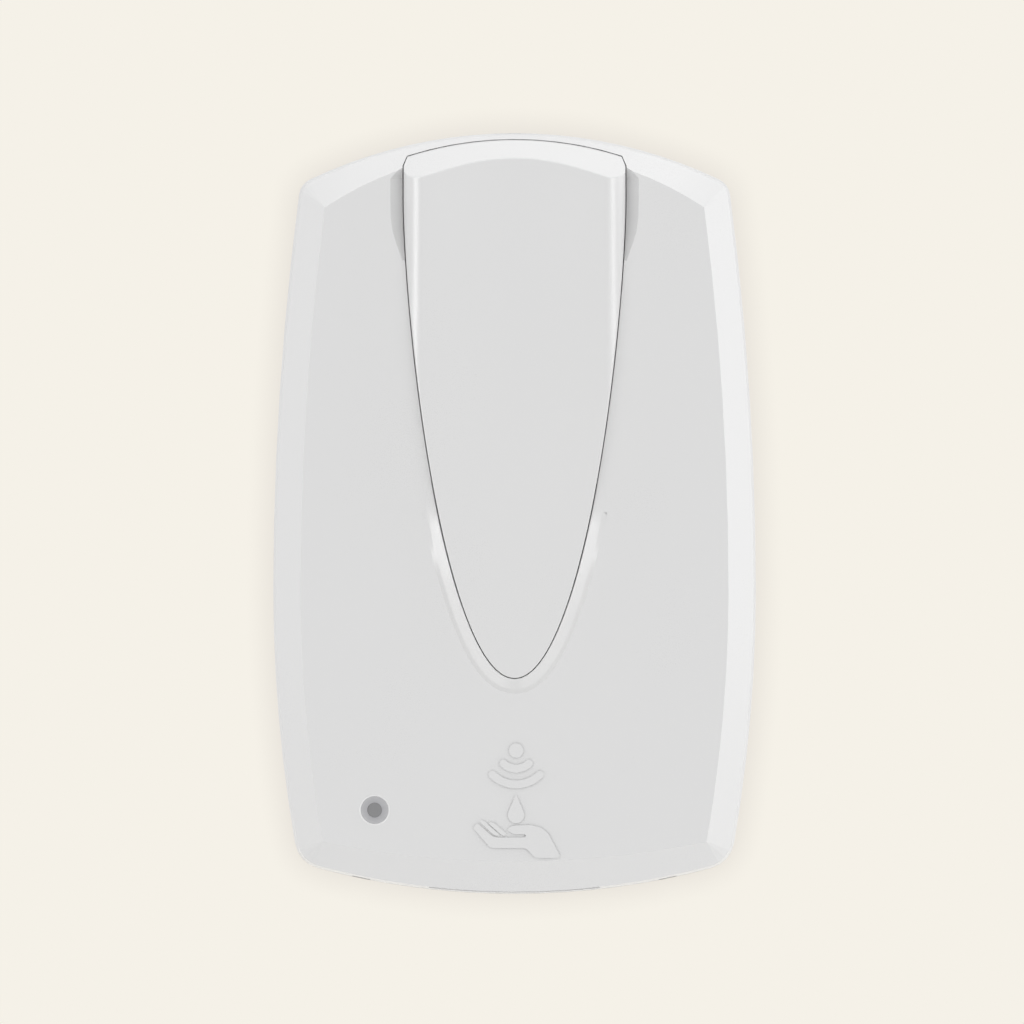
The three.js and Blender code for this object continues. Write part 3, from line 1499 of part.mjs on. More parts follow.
// The outlet shroud between the cheeks, with the nozzle's hole and the sensor's window
const outletGroup = assembly("outlet_assembly");
const shroudLow = cheekLow;
const shroudTop = shroudLow + outletWall;
const snoutLow = innerFloor;
const snoutFloor = snoutLow + outletWall;
const windowFront = windowRear + windowLength;

function shroudSolid() {
  const half = cheekInner - seatGap;
  const cheekFront = ledRear - shelfThickness;
  const tray = block([-half, half], [caseRear, cheekFront], [shroudLow, shroudTop]);
  const snout = block([-snoutHalfWidth, snoutHalfWidth], [snoutRear, snoutFront], [snoutLow, shroudTop]);
  const insideHalf = snoutHalfWidth - outletWall;
  const insideDepths = [snoutRear + outletWall, snoutFront - outletWall];
  const inside = block([-insideHalf, insideHalf], insideDepths, [snoutFloor, shroudTop + overrun]);
  const through = [snoutLow - overrun, snoutFloor + overrun];
  const hole = uprightRod(outletHole, ...through, 0, bottleMiddle);
  const window = block([-windowHalfWidth, windowHalfWidth], [windowRear, windowFront], through);
  return cut(join(tray, snout), inside, hole, window);
}

function windowSolid() {
  const half = windowHalfWidth - seatGap;
  const paneDepths = [windowRear + seatGap, windowFront - seatGap];
  const pane = block([-half, half], paneDepths, [snoutLow, snoutFloor + seatGap]);
  const flangeHalf = windowHalfWidth + windowFlange;
  const flangeDepths = [windowRear - windowFlange, windowFront + windowFlange];
  const flangeLevels = [snoutFloor + seatGap, snoutFloor + windowFlange];
  const flange = block([-flangeHalf, flangeHalf], flangeDepths, flangeLevels);
  return join(pane, flange);
}

const irMiddle = (windowRear + windowFront) / 2;
const sensorBoardLow = shroudTop + seatGap;
const irLow = snoutFloor + windowFlange + seatGap;
const irLength = sensorBoardLow - seatGap - irLow;
const sensorBoardHalf = snoutHalfWidth + outletWall;
const sensorBoardDepths = [windowRear - windowFlange, windowFront + outletWall];

piece(outletGroup, "outlet_shroud", shroudSolid(), materials.innerPlastic);
piece(outletGroup, "sensor_window", windowSolid(), materials.darkPlastic);
for (const [name, side] of [["ir_emitter", -1], ["ir_receiver", 1]]) {
  const made = turned(ledProfile(irLength), smallSides).rotate([180, 0, 0]);
  const place = { x: (side * irSpacing) / 2, depth: irMiddle, z: sensorBoardLow - seatGap };
  piece(outletGroup, name, made, materials.darkPlastic, place);
}
const sensorBoard = block(
  [-sensorBoardHalf, sensorBoardHalf],
  sensorBoardDepths,
  [sensorBoardLow, sensorBoardLow + boardThickness],
);
piece(outletGroup, "sensor_board", sensorBoard, materials.circuitBoard);

// The lock: housing and nut in the cover's top, core and cam that turn, and the keeper on the plate
const lockGroup = assembly("lock_assembly");
const lockBottom = lockTop - lockLength;
const lockFlangeTop = bodyTop - coverWall - looseGap;
const lockBore = lockCoreRadius + seatGap;
const headRadius = lockCoreRadius + lockHeadStep;
const stubRadius = camWidth / 2;
const camHigh = lockBottom - seatGap;
const camLow = camHigh - camThickness;
const onLockAxis = { depth: lockDepth };

function housingSolid() {
  const headSeat = lockTop - lockHead - seatGap;
  return turned([
    [lockBore, lockBottom],
    [lockRadius, lockBottom],
    [lockRadius, lockFlangeTop - lockFlange],
    [nutRadius, lockFlangeTop - lockFlange],
    [nutRadius, lockFlangeTop],
    [lockRadius, lockFlangeTop],
    [lockRadius, lockTop],
    [headRadius + seatGap, lockTop],
    [headRadius + seatGap, headSeat],
    [lockBore, headSeat],
    [lockBore, lockBottom],
  ]);
}

function nutSolid() {
  const high = lockFlangeTop - lockFlange - seatGap;
  return turned([
    [lockRadius + seatGap, high - nutHeight],
    [nutRadius, high - nutHeight],
    [nutRadius, high],
    [lockRadius + seatGap, high],
    [lockRadius + seatGap, high - nutHeight],
  ], smallSides);
}

function coreSolid() {
  const core = turned([
    [0, camLow - seatGap],
    [stubRadius, camLow - seatGap],
    [stubRadius, lockBottom],
    [lockCoreRadius, lockBottom],
    [lockCoreRadius, lockTop - lockHead],
    [headRadius, lockTop - lockHead],
    [headRadius, lockTop - seatGap],
    [0, lockTop - seatGap],
  ]);
  const slotAcross = [-keyLength / 2, keyLength / 2];
  const slot = block(slotAcross, [-keyWidth / 2, keyWidth / 2], [lockTop - keyDepth, lockTop]);
  return cut(core, slot);
}

function camSolid() {
  const disc = uprightRod(lockCoreRadius, camLow, camHigh, 0, 0);
  const width = [-camWidth / 2, camWidth / 2];
  const arm = block([0, camReach], width, [camLow, camHigh]);
  const lug = block([camReach - camThickness, camReach], width, [camLow - camLug, camHigh]);
  const hole = uprightRod(stubRadius + seatGap, camLow - overrun, camHigh + overrun, 0, 0);
  return cut(join(disc, arm, lug), hole);
}

// The keeper's tab stands in front of the cam's lug once the lock is turned
function keeperSolid() {
  const tabHigh = camLow - looseGap;
  const tabLow = camLow - camLug - keeperWall;
  const tabFront = lockDepth - camReach + camThickness + keeperGap + keeperWall;
  const webLeft = -2 * camWidth;
  const webRight = webLeft + 2 * keeperWall;
  const base = block([webLeft, camWidth], [plateFront, keeperSeat], [keeperLevel - camWidth, keeperTop]);
  const web = block([webLeft, webRight], [plateFront, tabFront], [tabLow, tabHigh]);
  const tab = block([webLeft, keeperTabEnd], [tabFront - keeperWall, tabFront], [tabLow, tabHigh]);
  return cut(join(base, web, tab), screwHole(keeperScrewAcross, keeperLevel, keeperSeat, plateScrewLength));
}

piece(lockGroup, "lock_housing", housingSolid(), materials.zincPlate, onLockAxis);
piece(lockGroup, "lock_nut", nutSolid(), materials.zincPlate, onLockAxis);
piece(lockGroup, "lock_core", coreSolid(), materials.zincPlate, onLockAxis);
piece(lockGroup, "lock_cam", camSolid(), materials.zincPlate, onLockAxis);
piece(lockGroup, "lock_keeper", keeperSolid(), materials.zincPlate);
screw(lockGroup, "keeper_screw", keeperScrewAcross, keeperLevel, keeperSeat, plateScrewLength);

export default dispenser;
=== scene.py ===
# The looks of an automatic hand sanitizer dispenser: a white cover with a raised centre panel over
# its wall plate, gel bottle, pump, motor drive, cells, board and lock.
import json
import math

import bmesh
import bpy
from mathutils import Matrix, Vector

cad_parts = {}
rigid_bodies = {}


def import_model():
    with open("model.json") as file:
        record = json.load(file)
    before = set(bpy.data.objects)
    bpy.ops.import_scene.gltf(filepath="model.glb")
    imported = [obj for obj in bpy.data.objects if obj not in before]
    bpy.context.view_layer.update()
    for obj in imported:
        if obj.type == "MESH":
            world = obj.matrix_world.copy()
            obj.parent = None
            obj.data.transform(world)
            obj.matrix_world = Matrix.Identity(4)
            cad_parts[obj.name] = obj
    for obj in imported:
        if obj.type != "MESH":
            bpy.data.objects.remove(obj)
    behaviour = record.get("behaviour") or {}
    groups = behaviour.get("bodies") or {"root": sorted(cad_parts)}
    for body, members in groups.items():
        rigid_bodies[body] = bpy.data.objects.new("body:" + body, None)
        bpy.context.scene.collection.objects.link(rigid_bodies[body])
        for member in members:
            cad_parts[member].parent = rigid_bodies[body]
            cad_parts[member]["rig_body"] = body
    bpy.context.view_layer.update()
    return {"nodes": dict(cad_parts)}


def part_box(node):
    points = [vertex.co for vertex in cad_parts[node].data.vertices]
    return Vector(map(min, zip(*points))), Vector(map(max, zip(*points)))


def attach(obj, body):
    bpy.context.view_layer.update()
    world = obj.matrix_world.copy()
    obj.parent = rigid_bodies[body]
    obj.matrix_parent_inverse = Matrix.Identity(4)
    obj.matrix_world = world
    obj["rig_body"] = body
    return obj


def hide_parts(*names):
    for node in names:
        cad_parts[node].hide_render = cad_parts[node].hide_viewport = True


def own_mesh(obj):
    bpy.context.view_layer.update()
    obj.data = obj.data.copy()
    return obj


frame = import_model()
mm = 0.001


# A socket of a material's node tree. Sums, products and differences of sockets add Math nodes, and
# node() adds any other node: its settings go first, then its sockets' values.
class Sock:
    def __init__(self, tree, socket=None):
        self.tree = tree
        self.socket = socket

    def node(self, kind, settings=None, sockets=None, output=0):
        made = self.tree.nodes.new("ShaderNode" + kind)
        for name, setting in (settings or {}).items():
            setattr(made, name, setting)
        for name, value in (sockets or {}).items():
            if isinstance(value, Sock):
                self.tree.links.new(value.socket, made.inputs[name])
            else:
                made.inputs[name].default_value = value
        return Sock(self.tree, made.outputs[output] if made.outputs else None)

    def maths(self, operation, *values):
        return self.node("Math", {"operation": operation}, dict(enumerate(values)))

    def __add__(self, other):
        return self.maths("ADD", self, other)

    def __sub__(self, other):
        return self.maths("SUBTRACT", self, other)

    def __mul__(self, other):
        return self.maths("MULTIPLY", self, other)

    def __rsub__(self, other):
        return self.maths("SUBTRACT", other, self)

    __radd__ = __add__
    __rmul__ = __mul__

    def mix(self, first, second):
        return self.node("Mix", {"data_type": "RGBA"}, {0: self, 6: first, 7: second}, 2)

    def part(self, axis):
        return self.node("SeparateXYZ", None, {"Vector": self}, axis)

    def bump(self, strength, height):
        return self.node("Bump", None, {"Height": self, "Strength": strength, "Distance": height})

    def noise(self, scale, detail):
        return self.node("TexNoise", None, {"Vector": self, "Scale": scale, "Detail": detail})


def new_material(name):
    material = bpy.data.materials.new(name + "_look")
    material["slot"] = name
    material.use_nodes = True
    material.node_tree.nodes.clear()
    return material, Sock(material.node_tree)


def finish_with(start, surface):
    start.node("OutputMaterial", None, {"Surface": surface})


def object_place(start):
    return start.node("TexCoord", None, None, "Object")


def principled(material, start, sockets):
    finish_with(start, start.node("BsdfPrincipled", None, sockets))
    return material


# The wall it hangs on and a floor below. The wall shows its front only, with a soft shade where the
# body stands against it, and it lights and hides nothing else, so the back can be looked at too.
cream = (0.913, 0.88, 0.807, 1)
cream_shade = (0.74, 0.7, 0.65, 1)
shade_reach = 10 * mm
wall_gap = 0.2 * mm
floor_level = -0.32
stage_half = 3.0
shade_samples = 8
floor_roughness = 0.9


def one_sided(start, front):
    behind = start.node("NewGeometry", None, None, "Backfacing")
    return start.node("MixShader", None, {0: behind, 1: front, 2: start.node("BsdfTransparent")})


def wall_paint():
    material, start = new_material("wall_paint")
    open_share = start.node("AmbientOcclusion", {"samples": shade_samples}, {"Distance": shade_reach}, "AO")
    shown = start.node("Emission", None, {"Color": open_share.mix(cream_shade, cream)})
    finish_with(start, one_sided(start, shown))
    return material


def floor_paint():
    material, start = new_material("floor_paint")
    matt = start.node("BsdfPrincipled", None, {"Base Color": cream, "Roughness": floor_roughness})
    finish_with(start, one_sided(start, matt))
    return material


def stage_plane(name, turn, place, material):
    plane = bmesh.new()
    bmesh.ops.create_grid(plane, x_segments=1, y_segments=1, size=stage_half)
    bmesh.ops.transform(plane, matrix=Matrix.Translation(place) @ turn, verts=plane.verts)
    mesh = bpy.data.meshes.new(name)
    plane.to_mesh(mesh)
    plane.free()
    mesh.materials.append(material)
    stage = bpy.data.objects.new(name, mesh)
    bpy.context.scene.collection.objects.link(stage)
    return stage


upright = Matrix.Rotation(math.pi / 2, 4, "X")
wall = stage_plane("wall", upright, Vector((0, wall_gap, floor_level + stage_half)), wall_paint())
floor = stage_plane("floor", Matrix(), Vector((0, 0, floor_level)), floor_paint())
for surface in (wall, floor):
    surface.visible_diffuse = False
    surface.visible_shadow = False
wall.visible_glossy = False
wall.visible_transmission = False

# The camera looks straight at the front, with parallel lines as in the photograph.
photo_width = 0.3608
photo_centre = Vector((-0.9 * mm, -1.2, 0.53 * mm))
camera_range = (0.05, 20)
camera_data = bpy.data.cameras.new("camera")
camera_data.type = "ORTHO"
camera_data.ortho_scale = photo_width
camera_data.clip_start, camera_data.clip_end = camera_range
camera = bpy.data.objects.new("camera", camera_data)
camera.location = photo_centre
camera.rotation_euler = (math.pi / 2, 0, 0)
bpy.context.scene.collection.objects.link(camera)
bpy.context.scene.camera = camera

# Even light: a pale room, brighter in front and behind, and brightest in a belt round the object's
# sides. A ring of soft lamps, open below, and one above give the plastic's gloss.
room_light = 0.4
front_light = 1.05
back_light = 0.4
side_light = {"right": 2.1, "left": 1.12, "up": 1.68, "down": 0.75}
side_centre = 0.12
side_narrowness = 2.5
lamp_distance = 1.6
ring_angle = 46
right_places = (-60, -30, 0, 30, 60, 90)
left_places = (120, 150, 180, 210, 240)
right_power = 3.3
left_power = 4.6
upper_angle = 107
upper_place = 90
upper_power = 3
ring_size = 0.5
upper_size = 1.2


def room():
    world = bpy.data.worlds.new("room")
    world.use_nodes = True
    world.node_tree.nodes.clear()
    start = Sock(world.node_tree)
    towards = start.node("TexCoord", None, None, "Generated")
    x, y, z = (towards.part(axis) for axis in "XYZ")
    ahead = (0 - y).maths("MAXIMUM", 0 - y, 0)
    behind = y.maths("MAXIMUM", y, 0)
    from_side = (y - side_centre).maths("ABSOLUTE", y - side_centre)
    falling = {0: from_side, 1: -side_narrowness, 2: 1}
    side_share = start.node("Math", {"operation": "MULTIPLY_ADD", "use_clamp": True}, falling)
    sides = 0
    for side, way in (("right", x), ("left", 0 - x), ("up", z), ("down", 0 - z)):
        sides = way.maths("MAXIMUM", way, 0) * side_light[side] + sides
    light = ahead * ahead * front_light + behind * behind * back_light
    light = light + sides * side_share + room_light
    plain = start.node("Background", None, {"Color": (1, 1, 1, 1), "Strength": light})
    seen = start.node("Background", None, {"Color": cream, "Strength": 1})
    by_camera = start.node("LightPath", None, None, "Is Camera Ray")
    shown = start.node("MixShader", None, {0: by_camera, 1: plain, 2: seen})
    start.node("OutputWorld", None, {"Surface": shown})
    return world


def gloss_lamp(name, from_axis, around, power, size):
    """A lamp seen in gloss only, that angle from the front's axis and that far round it."""
    data = bpy.data.lights.new(name, "AREA")
    data.size = size
    data.energy = power
    lamp = bpy.data.objects.new(name, data)
    from_axis, around = math.radians(from_axis), math.radians(around)
    aside = lamp_distance * math.sin(from_axis)
    ahead = lamp_distance * math.cos(from_axis)
    lamp.location = (aside * math.cos(around), -ahead, aside * math.sin(around))
    lamp.rotation_euler = (-lamp.location).to_track_quat("-Z", "Y").to_euler()
    lamp.visible_diffuse = False
    lamp.visible_camera = False
    bpy.context.scene.collection.objects.link(lamp)


bpy.context.scene.world = room()
for place in right_places:
    gloss_lamp("right_lamp", ring_angle, place, right_power, ring_size)
for place in left_places:
    gloss_lamp("left_lamp", ring_angle, place, left_power, ring_size)
gloss_lamp("upper_lamp", upper_angle, upper_place, upper_power, upper_size)
bpy.context.scene.view_settings.view_transform = "Standard"


# The wall plate: light grey moulded plastic, screwed to the wall through four keyholes. It carries
# everything inside, and low ribs on its front stiffen it.
cloud_scale = 16
spark_scale = 3200
spark_height = 0.02 * mm
finish_spread = 0.1


def moulded(name, colour, roughness, cloud=0.02, grain=0.3, **constants):
    """An even plastic: faint clouds from the flow in the mould, and a fine spark-etched grain."""
    material, start = new_material(name)
    place = object_place(start)
    clouds = place.noise(cloud_scale, 3)
    grains = place.noise(spark_scale, 1)
    darker = (*(part * (1 - cloud) for part in colour), 1)
    lighter = (*(min(part * (1 + cloud), 1) for part in colour), 1)
    sockets = {
        "Base Color": clouds.mix(darker, lighter),
        "Roughness": roughness + (clouds + grains - 1) * finish_spread,
        "Normal": grains.bump(grain, spark_height),
    }
    sockets.update(constants)
    return principled(material, start, sockets)


def placed(name, mesh, material, body, *nodes):
    """A finished piece of one material, which rides on a body and may stand for CAD nodes."""
    piece = bpy.data.objects.new(name, mesh)
    bpy.context.scene.collection.objects.link(piece)
    mesh.materials.append(material)
    if nodes:
        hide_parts(*nodes)
    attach(piece, body)
    return piece


def from_work(name, work, material, body, *nodes, smooth=32):
    """The same from a bmesh, with its shading smooth up to an angle between faces."""
    for edge in work.edges:
        edge.smooth = len(edge.link_faces) != 2 or edge.calc_face_angle() < math.radians(smooth)
    for face in work.faces:
        face.smooth = True
    mesh = bpy.data.meshes.new(name)
    work.to_mesh(mesh)
    work.free()
    return placed(name, mesh, material, body, *nodes)


def rounded(piece, radius, angle=32, segments=2):
    """Rounds a piece's corners, as a mould does, and evens its shading."""
    bevel = piece.modifiers.new("rounding", "BEVEL")
    bevel.width = radius
    bevel.segments = segments
    bevel.limit_method = "ANGLE"
    bevel.angle_limit = math.radians(angle)
    bevel.profile = 0.5
    weigh = piece.modifiers.new("shading", "WEIGHTED_NORMAL")
    weigh.keep_sharp = True
    return piece


merge_reach = 0.002 * mm
flat_angle = math.radians(0.4)


def cleaned(node):
    """A CAD node's mesh as a bmesh with its points merged and its flat faces made whole."""
    work = bmesh.new()
    work.from_mesh(frame["nodes"][node].data)
    bmesh.ops.remove_doubles(work, verts=work.verts, dist=merge_reach)
    bmesh.ops.dissolve_limit(work, angle_limit=flat_angle, verts=work.verts, edges=work.edges)
    return work


def finished(node, material, radius=0.3 * mm, smooth=32, angle=32):
    """A part whose CAD shape is right, with its corners rounded and its curves smooth."""
    body = frame["nodes"][node]["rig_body"]
    piece = from_work(node + "_finished", cleaned(node), material, body, node, smooth=smooth)
    return rounded(piece, radius, angle) if radius else piece


def bar(work, low, high):
    """Adds a box between two corners, in millimetres, with depths measured from the wall."""
    low, high = Vector((low[0], -high[1], low[2])) * mm, Vector((high[0], -low[1], high[2])) * mm
    scale = Matrix.Diagonal((*(high - low), 1))
    made = bmesh.ops.create_cube(work, size=1, matrix=Matrix.Translation((low + high) / 2) @ scale)
    return made["verts"]


inner_plastic = moulded("inner_plastic", (0.56, 0.56, 0.55), 0.5)
finished("wall_plate", inner_plastic)
rib_width = 1.4
rib_depths = (2.9, 4.2)
rib_across = (46, 73)
rib_levels = (-54, -36, -18, 0)
short_rib_across = (59, 74)
short_rib_levels = (18, 36, 54)
long_rib_across = 61
long_rib_depth = 4
long_rib_levels = (-66, 66)


def plate_ribs():
    work = bmesh.new()
    for side in (-1, 1):
        rows = [(rib_across, level) for level in rib_levels]
        rows += [(short_rib_across, level) for level in short_rib_levels]
        for across, level in rows:
            low, high = sorted(side * end for end in across)
            bar(work, (low, rib_depths[0], level), (high, rib_depths[1], level + rib_width))
        left = side * long_rib_across - rib_width / 2
        low, high = long_rib_levels
        bar(work, (left, rib_depths[0], low), (left + rib_width, long_rib_depth, high))
    rounded(from_work("plate_ribs", work, inner_plastic, "wall_unit"), 0.3 * mm)


plate_ribs()


# The hinge pins: turned from steel rod, with their ends rounded over. They are pressed into the
# plate's ears, and the cover's knuckles turn on them.
mottle_scale = 420
drawn_scale = (300, 300, 4000)
drawn_height = 0.01 * mm
metal_spreads = (0.15, 0.1)


def metal(name, colour, roughness, mottle=0.06):
    """A bare or plated metal: a little mottled, with fine drawn lines."""
    material, start = new_material(name)
    place = object_place(start)
    mottling = place.noise(mottle_scale, 4)
    lines = start.node("Mapping", None, {"Vector": place, "Scale": drawn_scale}).noise(1, 2)
    by_mottle, by_lines = metal_spreads
    darker = (*(part * (1 - mottle) for part in colour), 1)
    lighter = (*(min(part * (1 + mottle), 1) for part in colour), 1)
    sockets = {
        "Base Color": mottling.mix(darker, lighter),
        "Metallic": 1,
        "Roughness": roughness + (mottling - 0.5) * by_mottle + (lines - 0.5) * by_lines,
        "Normal": lines.bump(0.15, drawn_height),
    }
    return principled(material, start, sockets)


def lathe(profile, centre, axis="Z", steps=64):
    """A bmesh turned from (radius, place) points in millimetres. Places go up or along their axis."""
    work = bmesh.new()
    verts = [work.verts.new((radius * mm, 0, place * mm)) for radius, place in profile]
    edges = [work.edges.new(pair) for pair in zip(verts, verts[1:])]
    turn = {"geom": verts + edges, "cent": (0, 0, 0), "axis": (0, 0, 1), "angle": 2 * math.pi}
    bmesh.ops.spin(work, steps=steps, use_merge=True, **turn)
    bmesh.ops.remove_doubles(work, verts=work.verts, dist=0.001 * mm)
    bmesh.ops.recalc_face_normals(work, faces=work.faces)
    turns = {"X": Matrix.Rotation(math.pi / 2, 4, "Y"), "Y": upright, "Z": Matrix()}
    place = Matrix.Translation(Vector(centre)) @ turns[axis]
    bmesh.ops.transform(work, matrix=place, verts=work.verts)
    return work


def rod(node, material, edge=0.3):
    """A round rod in the place of a CAD node, along its longest side, with rounded ends."""
    low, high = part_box(node)
    centre, half = (low + high) / 2, (high - low) / 2 / mm
    longest = max(range(3), key=lambda i: half[i])
    radius = min(half)
    end = half[longest]
    profile = [(0, -end), (radius - edge, -end), (radius, edge - end), (radius, end - edge)]
    profile += [(radius - edge, end), (0, end)]
    work = lathe(profile, centre, "XYZ"[longest], 48)
    body = frame["nodes"][node]["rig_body"]
    return rounded(from_work(node + "_turned", work, material, body, node), edge / 3 * mm)


steel = metal("steel", (0.55, 0.56, 0.58), 0.3)
rod("hinge_pin_left", steel)
rod("hinge_pin_right", steel)

# The reed switch: a small capsule of grey plastic, glued to the plate's post. It senses the magnet
# of the closed cover.
grey_plastic = moulded("grey_plastic", (0.26, 0.28, 0.28), 0.5)
rod("reed_switch", grey_plastic, 0.8)

# The bottle shelf: moulded like the plate, with a slot for the bottle's neck and a cheek on each
# side. It is screwed to the plate by its flange.
finished("bottle_shelf", inner_plastic, 0.4 * mm)

# The status LED: a domed body with a flange, cast in clear resin round its chip. It sits on the
# shelf's tab, behind the cover's lens.
led_plastic = moulded("lens_plastic", (0.5, 0.5, 0.5), 0.2)
led_dome_share = 0.8
led_flange_height = 0.6
led_dome_steps = 8


def led(node, length_axis, way, material):
    low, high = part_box(node)
    centre, half = (low + high) / 2, (high - low) / 2 / mm
    end = half[length_axis]
    flange = min(half)
    radius = flange * led_dome_share
    profile = [(0, -end), (flange, -end), (flange, led_flange_height - end)]
    profile += [(radius, led_flange_height - end)]
    for step in range(led_dome_steps + 1):
        angle = math.pi / 2 * step / led_dome_steps
        profile.append((radius * math.cos(angle), end - radius + radius * math.sin(angle)))
    work = lathe([(r, place * way) for r, place in profile], centre, "XYZ"[length_axis], 32)
    body = frame["nodes"][node]["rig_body"]
    return from_work(node + "_moulded", work, material, body, node)


led("status_led", 1, 1, led_plastic)

# The screws: steel, with cross-recessed pan heads, all alike but for their length. They hold the
# shelf, the control board, the gear case and the lock's keeper.
head_height = 1.8 * mm
head_crown = 0.45 * mm
crown_share = 0.86
recess_half = 1.1 * mm
recess_depth = 1.0 * mm
recess_taper_share = 0.75
recess_cells = 6
head_steps = 24
shank_share = 0.5
point_height = 0.6 * mm


def only(items, kind):
    return [item for item in items if isinstance(item, kind)]


def open_edges(work):
    return [edge for edge in work.edges if edge.is_boundary]


def drawn_out(work, edges, scale, back):
    """Extrudes a loop of edges, scales it about the axis and moves it back along Y."""
    made = bmesh.ops.extrude_edge_only(work, edges=edges)["geom"]
    verts = only(made, bmesh.types.BMVert)
    bmesh.ops.scale(work, vec=(scale, 1, scale), verts=verts)
    bmesh.ops.translate(work, vec=(0, back, 0), verts=verts)
    return only(made, bmesh.types.BMEdge)


def screw(node):
    low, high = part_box(node)
    centre = (low + high) / 2
    radius = (high.x - low.x) / 2
    work = bmesh.new()
    cells = {"x_segments": recess_cells, "y_segments": recess_cells}
    bmesh.ops.create_grid(work, size=recess_half, matrix=upright, **cells)
    arm = 2 * recess_half / recess_cells
    cross = []
    for face in work.faces:
        middle = face.calc_center_median()
        if min(abs(middle.x), abs(middle.z)) < arm:
            cross.append(face)
    sunk = only(bmesh.ops.extrude_face_region(work, geom=cross)["geom"], bmesh.types.BMVert)
    bmesh.ops.translate(work, vec=(0, recess_depth, 0), verts=sunk)
    bmesh.ops.scale(work, vec=(recess_taper_share, 1, recess_taper_share), verts=sunk)
    bmesh.ops.delete(work, geom=[face for face in cross if face.is_valid], context="FACES_ONLY")
    rim = open_edges(work)
    bmesh.ops.create_circle(work, segments=head_steps, radius=radius * crown_share, matrix=upright)
    circle = [edge for edge in work.edges if edge.is_wire]
    bmesh.ops.bridge_loops(work, edges=rim + circle)
    loop = drawn_out(work, open_edges(work), 1 / crown_share, head_crown)
    loop = drawn_out(work, loop, 1, head_height - head_crown)
    loop = drawn_out(work, loop, shank_share, 0)
    loop = drawn_out(work, loop, 1, high.y - low.y - head_height - point_height)
    loop = drawn_out(work, loop, shank_share, point_height)
    bmesh.ops.holes_fill(work, edges=loop)
    bmesh.ops.recalc_face_normals(work, faces=work.faces)
    bmesh.ops.translate(work, vec=(centre.x, low.y, centre.z), verts=work.verts)
    return from_work(node + "_turned", work, steel, frame["nodes"][node]["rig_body"], node)


for screw_node in sorted(name for name in frame["nodes"] if "screw" in name):
    screw(screw_node)

# The refill bottle: blow-moulded in milky polyethylene, with rounded shoulders and a shallow panel
# in its front and back. It stands on the shelf, neck down, and its mouth is on its top.
bottle_plastic = moulded("bottle_plastic", (0.66, 0.69, 0.69), 0.36, **{"Subsurface Weight": 0.2})
pump_plastic = moulded("pump_plastic", (0.7, 0.7, 0.69), 0.4)
bottle_low, bottle_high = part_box("refill_bottle")
bottle_corner = 14 * mm
bottle_shoulder = 3.5 * mm
bottle_neck = 14 * mm
bottle_lip = 3 * mm
neck_radius = 15
neck_bore = 11
neck_overlap = 1
neck_edge = 0.4
bottle_well = 60 * mm
bottle_well_inset = 11 * mm
bottle_well_draft = 0.1 * mm
mouth_radius = 17
bottle_panel_inset = 6 * mm
bottle_panel_slope = 1.6 * mm
bottle_panel_sink = 1.2 * mm


def softened(work, edges, radius, segments):
    way = {"profile": 0.5, "affect": "EDGES", "material": -1}
    bmesh.ops.bevel(work, geom=edges, offset=radius, segments=segments, **way)


def refill_bottle():
    work = bmesh.new()
    low = bottle_low + Vector((0, 0, bottle_neck))
    high = bottle_high - Vector((0, 0, bottle_lip))
    bar(work, (low.x / mm, -high.y / mm, low.z / mm), (high.x / mm, -low.y / mm, high.z / mm))
    corners = [edge for edge in work.edges if abs(edge.verts[0].co.z - edge.verts[1].co.z) > mm]
    softened(work, corners, bottle_corner, 12)
    ends = [face for face in work.faces if abs(face.normal.z) > 0.9]
    rims = [edge for face in ends for edge in face.edges]
    softened(work, rims, bottle_shoulder, 5)
    for face in sorted(work.faces, key=lambda face: -face.calc_area())[:2]:
        bmesh.ops.inset_region(work, faces=[face], thickness=bottle_panel_inset)
        slope = {"thickness": bottle_panel_slope, "depth": -bottle_panel_sink}
        bmesh.ops.inset_region(work, faces=[face], **slope)
    axis = ((low.x + high.x) / 2, (low.y + high.y) / 2, 0)
    floor = min(work.faces, key=lambda face: face.calc_center_median().z)
    bmesh.ops.inset_region(work, faces=[floor], thickness=bottle_well_inset)
    bmesh.ops.inset_region(work, faces=[floor], thickness=bottle_well_draft, depth=-bottle_well)
    moulding = from_work("bottle_moulding", work, bottle_plastic, "wall_unit", "refill_bottle")
    rounded(moulding, 0.6 * mm, 14)
    end, root = bottle_low.z / mm, low.z / mm + neck_overlap
    neck = [(neck_bore, root), (neck_radius, root), (neck_radius, end + neck_edge)]
    neck += [(neck_radius - neck_edge, end), (neck_bore, end), (neck_bore, root)]
    rounded(from_work("bottle_neck", lathe(neck, axis), bottle_plastic, "wall_unit"), 0.2 * mm)
    end, root = bottle_high.z / mm, high.z / mm - neck_overlap
    mouth = [(0, root), (mouth_radius, root), (mouth_radius, end), (0, end)]
    rounded(from_work("bottle_mouth", lathe(mouth, axis), bottle_plastic, "wall_unit"), 0.2 * mm)
    return axis


pump_axis = refill_bottle()

# The fill cap: a screw cap moulded in white polypropylene, with twelve grips round it. It closes
# the mouth on the bottle's top.
finished("fill_cap", pump_plastic, 0.35 * mm)

# The pump: a black gasket, then collar, body and piston moulded in white polypropylene. The collar
# has fine grips round it and screws onto the bottle's neck.
rubber = moulded("rubber", (0.03, 0.03, 0.032), 0.7)
finished("neck_gasket", rubber, 0.1 * mm)
finished("pump_body", pump_plastic)
finished("pump_piston", pump_plastic, 0.4 * mm, smooth=24)
collar_low, collar_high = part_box("pump_collar")
collar_ribs = 36
collar_rib = 0.5
collar_bore = 6
collar_inner = 15.3
collar_floor = 2
collar_low_edge = 0.8
collar_high_edge = 0.5
collar_rib_margins = (1.2, 1)


